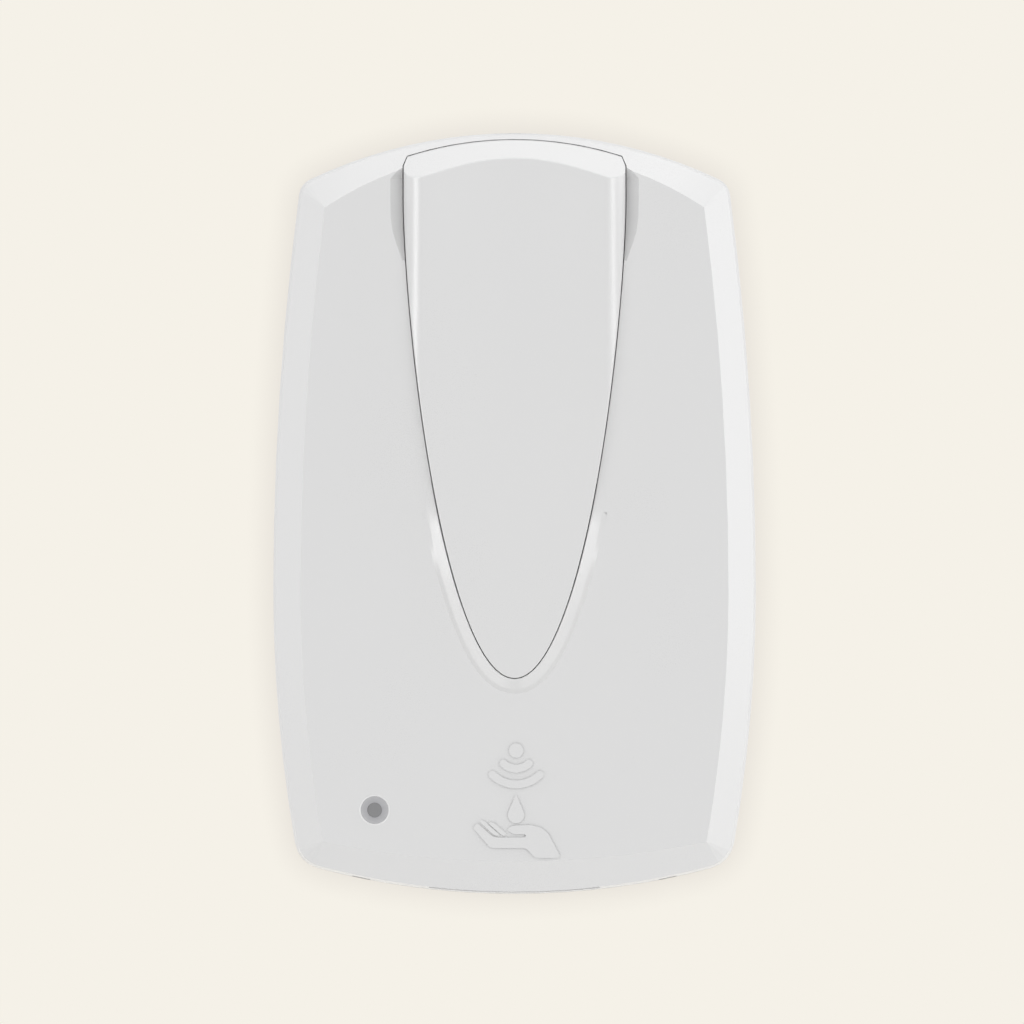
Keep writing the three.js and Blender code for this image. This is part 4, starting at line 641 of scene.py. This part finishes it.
def pump_collar():
    radius = (collar_high.x - collar_low.x) / 2 / mm
    low, high = collar_low.z / mm, collar_high.z / mm
    skin = radius - collar_rib
    profile = [(collar_bore, low), (skin - collar_low_edge, low), (skin, low + collar_low_edge)]
    profile += [(skin, high - collar_high_edge), (skin - collar_high_edge, high), (collar_inner, high)]
    profile += [(collar_inner, low + collar_floor), (collar_bore, low + collar_floor)]
    profile += [(collar_bore, low)]
    work = lathe(profile, pump_axis, steps=72)
    rib_low, rib_high = low + collar_rib_margins[0], high - collar_rib_margins[1]
    half = collar_rib / 2
    for i in range(collar_ribs):
        rib = bar(work, (skin - collar_rib, -half, rib_low), (radius, half, rib_high))
        turn = Matrix.Rotation(2 * math.pi * i / collar_ribs, 4, "Z")
        bmesh.ops.transform(work, matrix=Matrix.Translation(Vector(pump_axis)) @ turn, verts=rib)
    rounded(from_work("collar_moulding", work, pump_plastic, "wall_unit", "pump_collar"), 0.15 * mm)


pump_collar()

# The return spring: steel wire, wound in four turns round the pump's stem. It stands on the
# nozzle's flange, shortens as the piston rises and pushes it down again.
spring_low, spring_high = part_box("pump_spring")
spring_wire = 0.6 * mm
spring_turns = 4
spring_steps = 40
spring_sides = 10


def closed(work):
    bmesh.ops.holes_fill(work, edges=open_edges(work))
    bmesh.ops.recalc_face_normals(work, faces=work.faces)


def pump_spring():
    work = bmesh.new()
    radius = (spring_high.x - spring_low.x) / 2 - spring_wire
    start = Matrix.Translation((radius, 0, spring_low.z + spring_wire)) @ upright
    bmesh.ops.create_circle(work, segments=spring_sides, radius=spring_wire, matrix=start)
    rise = spring_high.z - spring_low.z - 2 * spring_wire
    steps = spring_turns * spring_steps
    bmesh.ops.spin(
        work, geom=work.verts[:] + work.edges[:], cent=(0, 0, 0), axis=(0, 0, 1),
        dvec=(0, 0, rise / steps), angle=2 * math.pi * spring_turns, steps=steps,
    )
    closed(work)
    bmesh.ops.translate(work, vec=pump_axis, verts=work.verts)
    piece = from_work("spring_wire", work, steel, "wall_unit", "pump_spring", smooth=50)
    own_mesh(piece)


pump_spring()

# The motor: a round can of zinc-plated steel, with two brass terminals on its rear. The bearing boss
# on its front sits in a hole of the gear case's rear half.
zinc_plate = metal("zinc_plate", (0.52, 0.53, 0.56), 0.38)
brass = metal("brass", (0.72, 0.52, 0.24), 0.32)
finished("motor", zinc_plate, 0.6 * mm, smooth=24)
motor_low, motor_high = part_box("motor")
terminal_across = 6.5
terminal_half = (1.4, 0.25)
terminal_length = 3.2
sunk_in = 0.2


def motor_terminals():
    work = bmesh.new()
    middle = (motor_low + motor_high) / 2 / mm
    rear = -motor_high.y / mm
    for side in (-1, 1):
        x = middle.x + side * terminal_across
        low = (x - terminal_half[0], rear - terminal_length, middle.z - terminal_half[1])
        bar(work, low, (x + terminal_half[0], rear + sunk_in, middle.z + terminal_half[1]))
    rounded(from_work("motor_terminals", work, brass, "wall_unit"), 0.1 * mm)


motor_terminals()

# The gears: a brass pinion on the motor and two acetal wheels on steel axles, in a grey case of two
# halves. The second wheel's pinion turns in front of the case and lifts the fork by its rack.
gear_plastic = moulded("gear_plastic", (0.7, 0.66, 0.54), 0.4)
finished("motor_pinion", brass, 0.1 * mm)
finished("first_gear", gear_plastic, 0.1 * mm)
finished("output_gear", gear_plastic, 0.1 * mm)
rod("first_axle", steel)
rod("output_axle", steel)
finished("drive_case_rear", grey_plastic)
finished("drive_case_lid", grey_plastic)
finished("lift_fork", gear_plastic)

# The battery box: moulded like the plate, with a sliding door that has a ledge to pull and four
# ribs to grip.
finished("battery_box", inner_plastic, 0.4 * mm)
finished("battery_door", inner_plastic)
door_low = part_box("battery_door")[0]
door_ledge = 3
door_rib_count = 4
door_rib_half = 17
door_rib_top = 46
door_rib_pitch = 4
door_rib_size = 0.9


def door_ribs():
    work = bmesh.new()
    front = -door_low.y / mm - door_ledge
    for i in range(door_rib_count):
        level = door_rib_top - i * door_rib_pitch
        low = (-door_rib_half, front - sunk_in, level)
        bar(work, low, (door_rib_half, front + door_rib_size, level + 2 * door_rib_size))
    rounded(from_work("door_ribs", work, inner_plastic, "box_door"), 0.4 * mm, segments=3)


door_ribs()


# The cells: steel cans in a printed sleeve of two plain colours, crimped in at both ends. Every
# other one stands upside down.
def sleeve_print():
    material, start = new_material("cell_sleeve")
    place = object_place(start)
    level = place.part("Z")
    band = level.maths("GREATER_THAN", level, cell_band_level * mm)
    wear = place.noise(300, 3)
    sockets = {
        "Base Color": band.mix(cell_dark, cell_copper),
        "Metallic": 0.35,
        "Roughness": 0.28 + (wear - 0.5) * 0.12,
        "Normal": wear.bump(0.1, 0.02 * mm),
    }
    return principled(material, start, sockets)


cell_dark = (0.018, 0.03, 0.045, 1)
cell_copper = (0.5, 0.24, 0.1, 1)
cell_band_level = 42
cell_crimp = 0.9
cell_roll = 0.1
cell_sink = 0.5
cell_step = 0.3
cell_low_ring = 2
cell_high_ring = 1.5
cell_nub = 3
cell_nub_height = 1
cell_sleeve = sleeve_print()


def battery_cell(number):
    low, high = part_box(f"battery_cell_{number}")
    centre = (low + high) / 2
    radius = (high.x - low.x) / 2 / mm
    end = (high.z - low.z) / 2 / mm
    way = 1 if number % 2 else -1
    top = end - cell_nub_height
    rim = radius - cell_crimp
    roll, sink, step = cell_roll, cell_sink, cell_step
    sleeve = [(rim, sink - end), (rim, roll - end), (radius - step, roll - end)]
    sleeve += [(radius, sink - end), (radius, top - sink), (radius - step, top - roll)]
    sleeve += [(rim, top - roll), (rim, top - sink), (rim, sink - end)]
    flat_low, flat_high = rim - cell_low_ring, rim - cell_high_ring
    can = [(0, step - end), (flat_low, step - end), (flat_low, sink - end), (rim, sink - end)]
    can += [(rim, top - sink), (flat_high, top - sink), (flat_high - step, top - 2 * roll)]
    can += [(cell_nub + 1, top - 2 * roll), (cell_nub, top), (cell_nub, end - step)]
    can += [(cell_nub - step, end), (0, end)]
    for part, profile, material in (("sleeve", sleeve, cell_sleeve), ("can", can, steel)):
        work = lathe([(r, place * way) for r, place in profile], centre, steps=48)
        nodes = [f"battery_cell_{number}"] if part == "sleeve" else []
        name = f"cell_{number}_{part}"
        rounded(from_work(name, work, material, "wall_unit", *nodes), 0.08 * mm)


for cell in (1, 2, 3, 4):
    battery_cell(cell)
for contact in ("low_left", "low_right", "high_left", "high_middle", "high_right"):
    finished("contact_" + contact, brass, 0.2 * mm)


# The control board: green fibreglass with printed tracks, on the plate's bosses. It carries a
# controller, a motor driver, capacitors, resistors, a crystal and white plugs in rows.
def board_print():
    material, start = new_material("circuit_board")
    place = object_place(start)
    parts = {}
    for axis in ("X", "Z"):
        along = place.part(axis) * (1 / track_pitch)
        parts[axis] = along.maths("LESS_THAN", along.maths("FRACT", along), track_share)
    blocks = start.node("TexVoronoi", None, {"Vector": place, "Scale": track_blocks}, "Color")
    choice = start.node("SeparateColor", None, {"Color": blocks}, "Red")
    across = choice.maths("LESS_THAN", choice, plain_shares[0]) * parts["X"]
    level = choice.maths("GREATER_THAN", choice, plain_shares[1]) * parts["Z"]
    tracks = across + level
    sockets = {
        "Base Color": tracks.mix(mask_green, track_green),
        "Roughness": 0.35 - tracks * 0.08,
        "Normal": tracks.bump(0.4, track_height),
    }
    return principled(material, start, sockets)


track_pitch = 1.3 * mm
track_share = 0.45
track_blocks = 90
track_height = 0.04 * mm
plain_shares = (0.4, 0.6)
mask_green = (0.012, 0.085, 0.04, 1)
track_green = (0.03, 0.17, 0.075, 1)
circuit_board = board_print()
dark_plastic = moulded("dark_plastic", (0.02, 0.02, 0.024), 0.22)
finished("control_board", circuit_board, 0.1 * mm)
board_front = -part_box("control_board")[0].y / mm
leg_width = 0.45
leg_reach = 1.1
leg_height = 0.5
leg_margin = 0.4
chips = [(-14, -27, 6, 6, 8), (8, -13, 5, 3, 6), (-33, -40, 3, 2.5, 3)]
chip_height = 1.7
chip_lift = 0.2
capacitors = [(-31, -19, 4, 9), (-31, -29.5, 3.2, 7.5), (32, -40, 4, 9)]
can_edge = 0.5
can_rim = 0.9
can_sink = 0.1
plugs = [(-16, -46.5, 6, 3), (2, -46.5, 5, 3), (17, -46.5, 4, 3)]
plug_height = 6
pin_half = 0.3
pin_pitch = 2
pin_reach = 0.5
resistor_rows = [(-2, -22, 5), (-2, -25.5, 5), (-2, -36, 6), (12, -22, 3), (-24, -12, 4), (-24, -8.5, 4)]
resistor_pitch = 3.2
resistor_size = (1.4, 0.6, 1.3)
cap_reach = 0.35
cap_length = 0.4
cap_skin = 0.02
solder = 0.05
crystal = (12, -35, 5, 2, 3.4)


def chips_and_resistors(dark, bright):
    """Adds black bodies to one bmesh and their legs and caps to another."""
    front = board_front
    root = front - solder
    for x, z, half_x, half_z, legs in chips:
        low = (x - half_x, front + chip_lift, z - half_z)
        bar(dark, low, (x + half_x, front + chip_height, z + half_z))
        inner, outer = half_z - chip_lift, half_z + leg_reach
        for i in range(legs):
            left = x + (2 * i + 1 - legs) / legs * (half_x - leg_margin) - leg_width / 2
            for low, high in ((-outer, -inner), (inner, outer)):
                bar(bright, (left, root, z + low), (left + leg_width, front + leg_height, z + high))
    width, height, depth = resistor_size
    for x, z, count in resistor_rows:
        for i in range(count):
            left = x + i * resistor_pitch
            bar(dark, (left, root, z), (left + width, front + height, z + depth))
            for end in (left - cap_reach, left + width - solder):
                low = (end, root, z - cap_skin)
                bar(bright, low, (end + cap_length, front + height + 2 * cap_skin, z + depth + cap_skin))


def control_parts():
    dark, bright, white = bmesh.new(), bmesh.new(), bmesh.new()
    chips_and_resistors(dark, bright)
    front = board_front
    root = front - solder
    x, z, half_x, half_z, height = crystal
    bar(bright, (x - half_x, root, z - half_z), (x + half_x, front + height, z + half_z))
    pin_front = front + plug_height + pin_reach
    for x, z, half_x, half_z in plugs:
        bar(white, (x - half_x, root, z - half_z), (x + half_x, front + plug_height, z + half_z))
        pins = int(half_x)
        for i in range(pins):
            middle = x + (i + 0.5 - pins / 2) * pin_pitch
            low = (middle - pin_half, pin_front - 2 * pin_half, z - pin_half)
            bar(bright, low, (middle + pin_half, pin_front, z + pin_half))
    rounded(from_work("board_chips", dark, dark_plastic, "wall_unit"), 0.12 * mm)
    rounded(from_work("board_metal", bright, steel, "wall_unit"), 0.06 * mm, segments=1)
    rounded(from_work("board_plugs", white, pump_plastic, "wall_unit"), 0.3 * mm)
    for i, (x, z, radius, height) in enumerate(capacitors):
        place = (x * mm, 0, z * mm)
        end = front + height
        can = [(0, front), (radius, front), (radius, end - can_edge), (radius - can_edge, end)]
        can += [(radius - can_rim, end), (radius - can_rim, end - can_sink), (0, end - can_sink)]
        work = lathe(can, place, "Y", 32)
        rounded(from_work(f"board_capacitor_{i + 1}", work, steel, "wall_unit"), 0.2 * mm)


control_parts()

# The power switch: a slide switch moulded in black plastic, with a white knob. It is soldered to
# the control board.
finished("switch_body", dark_plastic)
finished("power_switch", pump_plastic, 0.5 * mm)

# The outlet: a shroud round the nozzle, moulded like the plate and held between the shelf's cheeks.
# The infrared pair and their board stand over its dark window.
finished("outlet_shroud", inner_plastic, 0.4 * mm)
finished("sensor_window", dark_plastic)
led("ir_emitter", 2, -1, dark_plastic)
led("ir_receiver", 2, -1, dark_plastic)
finished("sensor_board", circuit_board, 0.1 * mm)
sensor_low, sensor_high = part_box("sensor_board")
sensor_parts_across = (-22, -15, -8, 9, 16, 22)
sensor_part_half = (1.6, 1)
sensor_part_height = 0.9


def sensor_parts():
    dark, bright = bmesh.new(), bmesh.new()
    top = sensor_high.z / mm
    depth = -(sensor_low.y + sensor_high.y) / 2 / mm
    half_x, half_y = sensor_part_half
    cap_half = half_y + cap_skin
    root, part_top = top - solder, top + sensor_part_height
    for x in sensor_parts_across:
        bar(dark, (x - half_x, depth - half_y, root), (x + half_x, depth + half_y, part_top))
        for end in (x - half_x, x + half_x):
            high = (end + cap_length, depth + cap_half, part_top + 2 * cap_skin)
            bar(bright, (end - cap_length, depth - cap_half, root), high)
    rounded(from_work("sensor_parts", dark, dark_plastic, "wall_unit"), 0.1 * mm)
    rounded(from_work("sensor_metal", bright, steel, "wall_unit"), 0.06 * mm, segments=1)


sensor_parts()

# The lock: a zinc housing and nut in the cover's top, with a core and cam that turn, and a keeper
# screwed to the wall plate.
for lock_part in ("lock_housing", "lock_nut", "lock_core", "lock_cam", "lock_keeper"):
    finished(lock_part, zinc_plate, 0.25 * mm, smooth=24)

# The cover: one shell of white satin plastic, moulded with its knuckles, the panel's pocket and the
# magnet's pad. The magnet is pressed into its pad.
shell_plastic = moulded("shell_plastic", (0.72, 0.72, 0.72), 0.3, cloud=0.006, grain=0.1)
finished("cover", shell_plastic, 0.4 * mm, smooth=10, angle=26)
finished("cover_magnet", steel, 0.3 * mm)

# The centre panel: a tongue of the same plastic, snapped into the cover's pocket. Its front is
# gently hollow between two rounded sides, and its top end slopes back to the cover's crown.
panel_low, panel_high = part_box("tongue_panel")
panel_half = panel_high.x
panel_tip = panel_low.z
panel_shoulder = 110 * mm
panel_crown = panel_high.z
panel_crown_radius = 124 * mm
panel_taper_share = 1.5
face_depth = 111.5 * mm
tip_rise = 3.5 * mm
top_rise = 6.5 * mm
panel_dish = 3.1 * mm
side_round = 6.5 * mm
end_drop = 5.4 * mm
end_slope_share = 1.4
edge_round = 0.5 * mm
corner_across = 1.4 * mm
corner_drop = 2.8 * mm
side_power = 1.6
dish_power = 1.6
lip_rise = 3 * mm
lip_start = 17 * mm
lip_full = -25 * mm
panel_columns = 140
panel_rows = 200
panel_low_share = 0.78
panel_crease_share = 0.88


def seam_rise(level):
    share = min(max((level - lip_start) / (lip_full - lip_start), 0), 1)
    return lip_rise * share * share * (3 - 2 * share)


def panel_half_at(level):
    share = (level - panel_tip) / (panel_shoulder - panel_tip)
    return panel_half * math.sqrt(1 - max(1 - share, 0) ** panel_taper_share)


def panel_crown_at(x):
    return panel_crown - panel_crown_radius + math.sqrt(panel_crown_radius**2 - x**2)


def panel_front(x, level):
    up = min(max((level - panel_tip) / (panel_shoulder - panel_tip), 0), 1)
    crest = face_depth + tip_rise + (top_rise - tip_rise) * up
    seam = face_depth + seam_rise(level)
    flat_half = panel_half - side_round
    out = min(max(abs(x) - flat_half, 0) / side_round, 1)
    dish = panel_dish * up * max(1 - (x / flat_half) ** 2, 0) ** dish_power
    return seam + (crest - seam) * math.sqrt(1 - out**side_power) - dish


def panel_crease(x):
    level = panel_shoulder
    for _ in range(8):
        rise = panel_front(x, level) - face_depth + end_drop
        level = panel_crown_at(x) - rise / end_slope_share
    return level


def panel_point(across, up):
    """A point of the front from its share across, -1 to 1, and its share up, 0 to 1."""
    if up < panel_low_share:
        level = panel_tip + (panel_shoulder - panel_tip) * (up / panel_low_share) ** 2
        x = across * panel_half_at(level)
    else:
        x = across * panel_half
        crease = panel_crease(x)
        if up < panel_crease_share:
            share = (panel_crease_share - up) / (panel_crease_share - panel_low_share)
            level = crease - (crease - panel_shoulder) * share**2
        else:
            share = (up - panel_crease_share) / (1 - panel_crease_share)
            level = crease + (panel_crown_at(x) - crease) * share**2
    front = panel_front(x, level)
    end = face_depth - end_drop + (panel_crown_at(x) - level) * end_slope_share
    over = max(edge_round - abs(front - end), 0) / edge_round
    front = min(front, end) - over * over * edge_round / 4
    slope = (panel_half_at(level + edge_round) - panel_half_at(level)) / edge_round
    inside = (panel_half_at(level) - abs(x)) / math.hypot(1, slope)
    left = max(edge_round - inside, 0)
    front -= edge_round - math.sqrt(edge_round**2 - left**2)
    return Vector((x, -front, level))


def backed(work, rear):
    made = bmesh.ops.extrude_edge_only(work, edges=open_edges(work))["geom"]
    for vert in only(made, bmesh.types.BMVert):
        vert.co.y = rear
    closed(work)


def tongue_panel():
    work = bmesh.new()
    bmesh.ops.create_grid(work, x_segments=panel_columns, y_segments=panel_rows, size=0.5)
    for vert in work.verts:
        across = math.sin(math.pi * vert.co.x)
        vert.co = panel_point(across, min(max(vert.co.y + 0.5, 0), 1))
    bmesh.ops.remove_doubles(work, verts=work.verts, dist=0.01 * mm)
    cut_x = panel_half - corner_across
    for side in (-1, 1):
        start = Vector((side * cut_x, 0, panel_crown_at(cut_x)))
        end = Vector((side * panel_half, 0, panel_crown_at(panel_half) - corner_drop))
        normal = (end - start).cross(Vector((0, side, 0)))
        geometry = work.verts[:] + work.edges[:] + work.faces[:]
        bmesh.ops.bisect_plane(work, geom=geometry, plane_co=start, plane_no=normal, clear_outer=True)
    backed(work, panel_high.y)
    return from_work("tongue_moulding", work, shell_plastic, "cover_body", "tongue_panel", smooth=40)


tongue_panel()

# The raised border round the panel's tip: moulded with the cover, it slopes out from the seam to a
# steeper foot on the face, and fades out on its way up.
border_gap = 0.37 * mm
border_reach = 5.5 * mm
border_fall = 1.9 * mm
border_inner_soft = 0.35 * mm
border_foot = 1.4 * mm
border_proud = 0.05 * mm
border_depth = 1 * mm
border_step_share = 0.002
border_columns = 240
border_rows = 24


def border_line(way):
    """A point of the panel's edge, from its share of the way round the tip, -1 to 1."""
    level = panel_tip + (lip_start - panel_tip) * way * way
    return Vector((math.copysign(panel_half_at(level), way), 0, level))


def border_point(way, out):
    """A point of the border's front, from that share and its share outwards, 0 to 1."""
    step = border_step_share
    ahead = border_line(min(way + step, 1)) - border_line(max(way - step, -1))
    outward = Vector((ahead.z, 0, -ahead.x)).normalized()
    point = border_line(way)
    rise = seam_rise(point.z)
    width = border_reach - border_gap
    share = min(width * out / (width - border_foot), 1)
    height = rise - min(rise, border_fall) * share
    height += border_proud * min(2 * rise / border_fall - 1, 1)
    height *= min(width * (1 - out) / border_foot, 1)
    near_seam = max(border_inner_soft - width * out, 0)
    height -= border_inner_soft - math.sqrt(border_inner_soft**2 - near_seam**2)
    point += outward * (border_gap + width * out)
    point.y = -face_depth - height
    return point


def tip_border():
    work = bmesh.new()
    bmesh.ops.create_grid(work, x_segments=border_columns, y_segments=border_rows, size=0.5)
    for vert in work.verts:
        way, out = min(max(vert.co.x * 2, -1), 1), min(max(vert.co.y + 0.5, 0), 1)
        vert.co = border_point(way, (1 - math.cos(math.pi * out)) / 2)
    backed(work, border_depth - face_depth)
    return from_work("tip_border", work, shell_plastic, "cover_body", smooth=40)


tip_border()

# The status lens: grey clear plastic, held by a flange behind the cover's face. Its front is
# dished round a darker eye, and the cover has a fine polished lip round it with a painted highlight.
lens_low, lens_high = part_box("status_lens")
lens_radius = 4.8
lens_eye = 2.6
lens_dish = 1.7
lens_flange = 1.5
lens_flange_step = 2.5
lens_edge = 0.15
eye_groove = 0.12
eye_groove_half = 0.1
eye_grey = (0.23, 0.23, 0.235, 1)
dish_grey = (0.53, 0.53, 0.545, 1)
lip_gap = 0.05
lip_width = 0.55
lip_slope = 0.4
lip_heights = (0.4, 0.35)
lip_root = 0.5


def lens_tint():
    """Darker inside the eye's radius about the lens's axis."""
    material, start = new_material("lens_plastic")
    place = object_place(start)
    centre = (lens_low + lens_high) / 2
    from_axis = start.node("VectorMath", {"operation": "SUBTRACT"}, {0: place, 1: centre})
    flat = start.node("VectorMath", {"operation": "MULTIPLY"}, {0: from_axis, 1: (1, 0, 1)})
    radius = start.node("VectorMath", {"operation": "LENGTH"}, {0: flat}, "Value")
    outside = radius.maths("GREATER_THAN", radius, lens_eye * mm)
    clouds = place.noise(200, 2)
    sockets = {
        "Base Color": outside.mix(eye_grey, dish_grey),
        "Roughness": 0.22 + (clouds - 0.5) * 0.1,
        "Normal": clouds.bump(0.05, 0.05 * mm),
    }
    return principled(material, start, sockets)


def status_lens():
    centre = (lens_low + lens_high) / 2
    front = -lens_low.y / mm
    rear = -lens_high.y / mm
    flange = (lens_high.x - lens_low.x) / 2 / mm
    eye = front - lens_dish
    flange_rear = rear + lens_flange_step
    flange_front = flange_rear + lens_flange
    profile = [(0, rear), (lens_radius, rear), (lens_radius, flange_rear), (flange, flange_rear)]
    profile += [(flange, flange_front), (lens_radius, flange_front), (lens_radius, front)]
    profile += [(lens_radius - lens_edge, front), (lens_eye + eye_groove_half, eye)]
    profile += [(lens_eye, eye - eye_groove), (lens_eye - eye_groove_half, eye), (0, eye)]
    middle = (centre.x, 0, centre.z)
    work = lathe(profile, middle, "Y")
    from_work("lens_moulding", work, lens_tint(), "cover_body", "status_lens", smooth=24)
    face = face_depth / mm
    root = face - lip_root
    inner = lens_radius + lip_gap
    crest, outer = inner + lip_slope, inner + lip_width
    lip = [(inner, root), (inner, face), (crest, face + lip_heights[0])]
    lip += [(outer, face + lip_heights[1]), (outer, root), (inner, root)]
    # The lip's lighter colour is a painted highlight on a copy of the shell plastic; its low roughness is a
    # real polish.
    polished_painted_highlight = moulded("shell_plastic", (0.86, 0.86, 0.86), 0.12)
    from_work("lens_lip", lathe(lip, middle, "Y"), polished_painted_highlight, "cover_body", smooth=24)


status_lens()

# The sign on the cover: a drop over an open hand under sensing arcs. It is moulded with the cover in
# low relief, and its sloped sides keep a matt finish, with painted shade on them.
sign_rise = 0.6 * mm
sign_slope = 0.4 * mm
sign_edge = 0.1 * mm
sign_lift = 0.05 * mm
sign_white = (0.72, 0.72, 0.72, 1)
sign_painted_shade = (0.45, 0.45, 0.45, 1)
dot_place = (0.55, -83.5)
dot_radius = 2.57
arc_radii = (6.4, 11.94)
arc_half = 1.41
arc_half_angle = 44.5
arc_steps = 20
drop_place = (0.52, -106.2)
drop_radius = 2.92
drop_tip = [(0.72, -99.2), (0.52, -98.95), (0.32, -99.2)]
hand = [
    (-14.6, -110.8), (-13.7, -109.5), (-12.8, -109.3), (-7.8, -113.8), (-5.5, -114.2),
    (3.9, -114.1), (3.9, -113.0), (-0.4, -113.0), (-2.8, -111.5), (-1.2, -110.0),
    (5.7, -109.7), (9.7, -110.8), (11.8, -112.6), (16.1, -120.6), (15.4, -121.4),
    (7.2, -121.4), (4.5, -118.4), (3.3, -117.9), (-7.9, -117.9), (-9.0, -117.4),
]
hand_round = 1.2
fingers = [
    [(-12.4, -108.6), (-12.1, -107.9), (-10.9, -108.1), (-5.6, -112.9), (-5.3, -113.6), (-7.2, -113.4)],
    [(-9.3, -109.2), (-8.5, -108.6), (-7.2, -109), (-2.7, -112.8), (-3.4, -113.6), (-4.6, -113.3)],
]
finger_round = 0.8


def sign_plastic():
    """The cover's plastic, with painted shade where the sign's sides slope; they also keep a matt finish.
    """
    material, start = new_material("shell_plastic")
    place = object_place(start)
    ahead = start.node("TexCoord", None, None, "Normal").part("Y")
    # Painted shade: the sign's steep sides are coloured darker, standing in for the shade along them.
    steepness = {0: ahead.maths("ABSOLUTE", ahead), 1: -6, 2: 5.8}
    steep = start.node("Math", {"operation": "MULTIPLY_ADD", "use_clamp": True}, steepness)
    sockets = {
        "Base Color": steep.mix(sign_white, sign_painted_shade),
        "Roughness": 0.3 + steep * 0.3,
        "Normal": place.noise(spark_scale, 1).bump(0.1, spark_height),
    }
    return principled(material, start, sockets)


def relief(work, points):
    """Adds a low raised shape with sloped sides, from [x, z] points in millimetres."""
    verts = [work.verts.new((x * mm, sign_lift - face_depth, z * mm)) for x, z in points]
    face = work.faces.new(verts)
    face.normal_update()
    if face.normal.y > 0:
        face.normal_flip()
    work.normal_update()
    bmesh.ops.inset_region(work, faces=[face], thickness=sign_slope, depth=sign_rise + sign_lift)
    softened(work, face.edges[:], sign_edge, 2)


def arc(centre, radius, start, end, steps):
    """Points round a centre between two angles in degrees, both ends included."""
    angles = [math.radians(start + (end - start) * i / steps) for i in range(steps + 1)]
    return [(centre[0] + radius * math.cos(a), centre[1] + radius * math.sin(a)) for a in angles]


def smoothed(points, radius, steps=4):
    """An outline with each of its corners turned into an arc-like curve."""
    out = []
    for i, here in enumerate(points):
        before, after = Vector(points[i - 1]), Vector(points[(i + 1) % len(points)])
        here = Vector(here)
        reach = min(radius, (before - here).length / 2, (after - here).length / 2)
        start = here + (before - here).normalized() * reach
        end = here + (after - here).normalized() * reach
        for k in range(steps + 1):
            t = k / steps
            out.append(tuple(start * (1 - t) ** 2 + here * 2 * t * (1 - t) + end * t**2))
    return out


def sign():
    work = bmesh.new()
    relief(work, arc(dot_place, dot_radius, 0, 345, 23))
    first, last = -90 - arc_half_angle, -90 + arc_half_angle
    for radius in arc_radii:
        points = arc(dot_place, radius + arc_half, first, last, arc_steps)
        end = arc(dot_place, radius, last, last, 1)[0]
        points += arc(end, arc_half, last, last + 180, 8)[1:-1]
        points += arc(dot_place, radius - arc_half, last, first, arc_steps)
        end = arc(dot_place, radius, first, first, 1)[0]
        points += arc(end, arc_half, first + 180, first + 360, 8)[1:-1]
        relief(work, points)
    relief(work, arc(drop_place, drop_radius, -205, 25, 16) + drop_tip)
    relief(work, smoothed(hand, hand_round))
    for finger in fingers:
        relief(work, smoothed(finger, finger_round))
    return from_work("sensing_sign", work, sign_plastic(), "cover_body", smooth=30)


sign()
